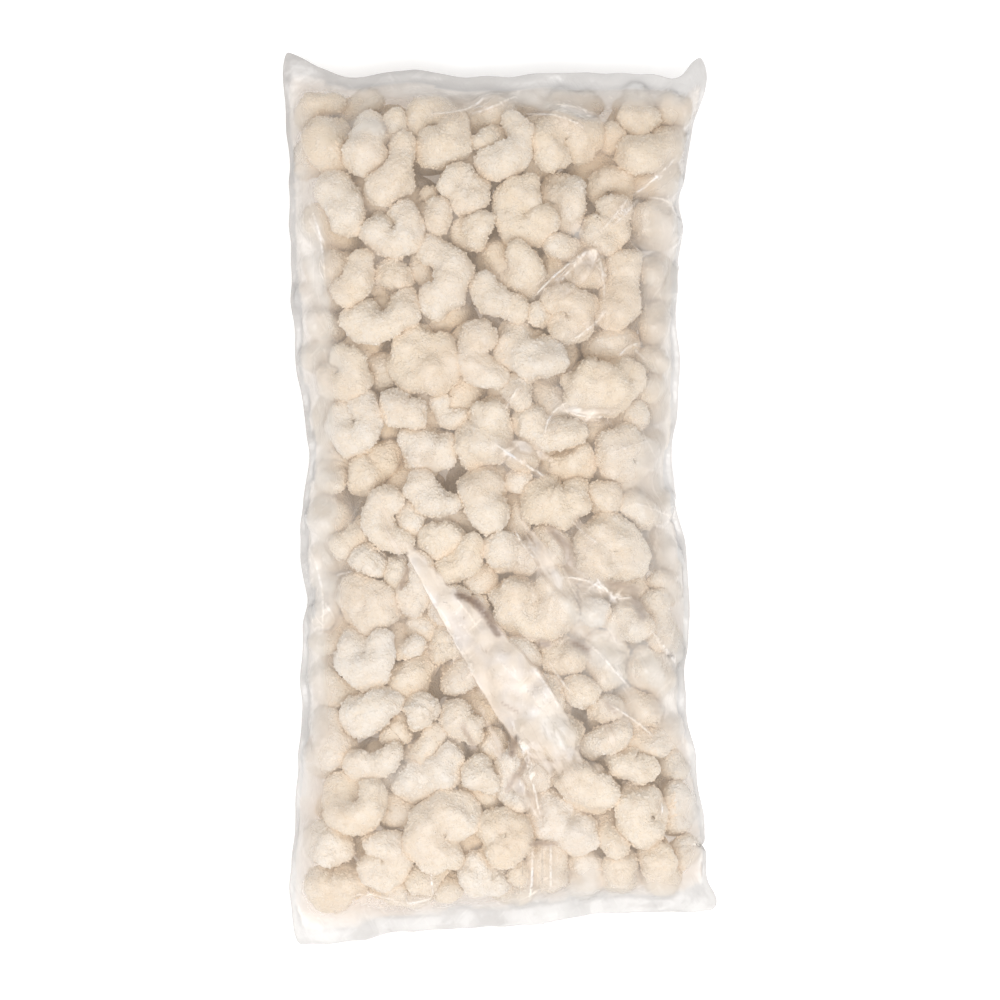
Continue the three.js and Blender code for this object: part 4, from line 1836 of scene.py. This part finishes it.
        # Milky patches, partly painted sheen, make the film whiter and less clear.
        sheen_mist = wiring.maths("MULTIPLY", wiring.attribute("sheen_mist"), wiring.ramp(mottle, 0.25, 0.75, 0.65, 1.25))
        total = wiring.ramp(wiring.attribute("stand_off"), 0.05, 0.9, self.clear, self.clear + self.stand_off)
        for part, weight in (
            (thick, self.fin),
            (haze, self.rim),
            (line, self.fold),
            (fan, 1.0),
            (sheet, 1.0),
            (shade, self.shadow),
            (strays, 0.11),
            (wiring.ramp(cloud, 0.44, 0.70), 0.11),
            (sheen_mist, 0.85),
        ):
            total = wiring.maths("MULTIPLY_ADD", part, weight, total)
        alpha = wiring.ramp(total, 0.0, 0.92, 0.0, 0.92)

        # The seals are darker to the left and towards the top and lighter to the right and the foot: painted
        # light and shade over the film's own grey.
        top_seal = wiring.mix(wiring.ramp(split["X"], -0.085, 0.085), self.left_seal, self.right_seal)
        seal = wiring.mix(far, self.foot_seal, top_seal)
        # The haze turns warm over the contents and stays plain near the rim, as painted warm light from the
        # pieces beneath.
        milk = wiring.mix(wiring.ramp(sheen_mist, 0.0, 0.25), wiring.mix(rim, self.warm_bounce, self.milk), self.misty_sheen)
        colour = wiring.mix(wiring.maths("MULTIPLY", wiring.attribute("fin"), 0.9), milk, seal)
        # Painted glare: crease lines, their fans and the white folds turn the colour cream and white.
        fold = wiring.mix(wiring.ramp(mottle, 0.44, 0.72), self.creamy, self.white)
        whitest = wiring.maths("MAXIMUM", line, wiring.maths("MULTIPLY", sheet, 1.3))
        bright = wiring.maths("ADD", whitest, fan, clamp=True)
        colour = wiring.mix(bright, colour, fold)
        # Painted shade over the dark gaps beside the folds.
        colour = wiring.mix(shade, colour, self.shaded)
        height = wiring.maths("MULTIPLY_ADD", down, 0.8, fine)
        height = wiring.maths("MULTIPLY_ADD", cross, 1.0, height)
        height = wiring.maths("MULTIPLY_ADD", line, 1.6, height)
        bump = wiring.node("ShaderNodeBump", {"Height": height, "Distance": self.crinkle, "Strength": 0.8})
        shader = wiring.node("ShaderNodeBsdfPrincipled", {
            "Base Color": colour, "Roughness": wiring.ramp(sheet, 0.0, 0.6, 0.26, 0.66), "IOR": 1.5,
            "Specular IOR Level": 0.7, "Alpha": alpha, "Normal": bump.outputs[0],
        })
        wiring.node("ShaderNodeOutputMaterial", {"Surface": shader.outputs[0]})
        return made


@dataclass(frozen=True)
class Studio:
    """A plain pale floor, soft light from the foot end and a camera that looks straight down."""

    floor_size: float = 6.0
    floor_colour: Colour = (0.94, 0.94, 0.94, 1)
    floor_glow: float = 0.20
    camera_height: float = 1.60
    view_width: float = 0.440
    fin_height: float = 0.021
    sensor: float = 36.0

    def camera(self) -> None:
        """Places the camera over the middle of the bag."""
        data = bpy.data.cameras.new("camera")
        data.sensor_width = self.sensor
        data.lens = self.sensor * (self.camera_height - self.fin_height) / self.view_width
        data.clip_start, data.clip_end = 0.05, 10.0
        eye = added("camera", data)
        eye.location = (0.0, 0.0, self.camera_height)
        bpy.context.scene.camera = eye

    def floor(self) -> bpy.types.Object:
        """Lays the floor.

        Returns:
            The floor.
        """
        bm = bmesh.new()
        bmesh.ops.create_grid(bm, x_segments=2, y_segments=2, size=self.floor_size / 2)
        finish = bpy.data.materials.new("pale_floor")
        finish.use_nodes = True
        wiring = Wiring(finish.node_tree)
        shader = wiring.node("ShaderNodeBsdfPrincipled", {
            "Base Color": self.floor_colour, "Roughness": 0.9, "Specular IOR Level": 0.1,
            "Emission Color": self.floor_colour, "Emission Strength": self.floor_glow,
        })
        wiring.node("ShaderNodeOutputMaterial", {"Surface": shader.outputs[0]})
        laid = finished_object("pale_floor", bm, finish)
        return laid

    def lights(self) -> None:
        """Hangs the large soft lights and sets the surroundings."""
        for name, place, size, power in (
            ("key_softbox", (0.05, -0.62, 1.15), 1.0, 9.2),
            ("overhead_softbox", (0.00, -0.40, 1.9), 1.5, 9.4),
            ("side_softbox", (-1.2, 0.0, 0.9), 0.8, 1.2),
        ):
            data = bpy.data.lights.new(name, "AREA")
            data.shape = "SQUARE"
            data.size = size
            data.energy = power
            lamp = added(name, data)
            lamp.location = place
            lamp.rotation_euler = (-Vector(place)).to_track_quat("-Z", "Y").to_euler()
        world = bpy.data.worlds.new("soft_surroundings")
        world.use_nodes = True
        bpy.context.scene.world = world
        wiring = Wiring(world.node_tree)
        sky = wiring.node("ShaderNodeBackground", {"Color": (1.0, 1.0, 1.0, 1.0), "Strength": 0.82})
        wiring.node("ShaderNodeOutputWorld", {"Surface": sky.outputs[0]})
        bpy.context.scene.view_settings.view_transform = "Standard"


def main() -> None:
    """Builds the studio, the pieces and the film, and reports each piece."""
    logging.basicConfig(level=logging.INFO, format="%(name)s: %(message)s")
    studio = Studio()
    studio.camera()
    studio.floor()
    studio.lights()

    node = frame["nodes"][BAG_NODE]
    form = BagForm(node)
    heap = Heap(form)
    log.info("%d breaded pieces are in the bag", len(heap.pieces))

    group = crumb_group()
    breading = CrumbCoat().material(group)
    breaded = BreadedPieces(heap, form)
    contents = breaded.build(breading)
    bare = Skin(contents)
    for name, sizes, most in CRUMB_KINDS:
        contents.append(breaded.crumbs(name, sizes, most, bare, breading))
    for piece in contents:
        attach(piece, BODY)
        log.info("%s: %d faces", piece.name, len(piece.data.polygons))

    film = Film(node, form)
    film.drape(bare.tree)
    film.shade(SHADES, SHEEN_MISTS)
    film.crease(CREASES, VEILS)
    bag = film.build(HazyFilm().material())
    film.hold_in(contents)
    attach(bag, BODY)
    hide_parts(BAG_NODE)
    log.info("%s: %d faces", bag.name, len(bag.data.polygons))


if __name__ == "__main__":
    main()
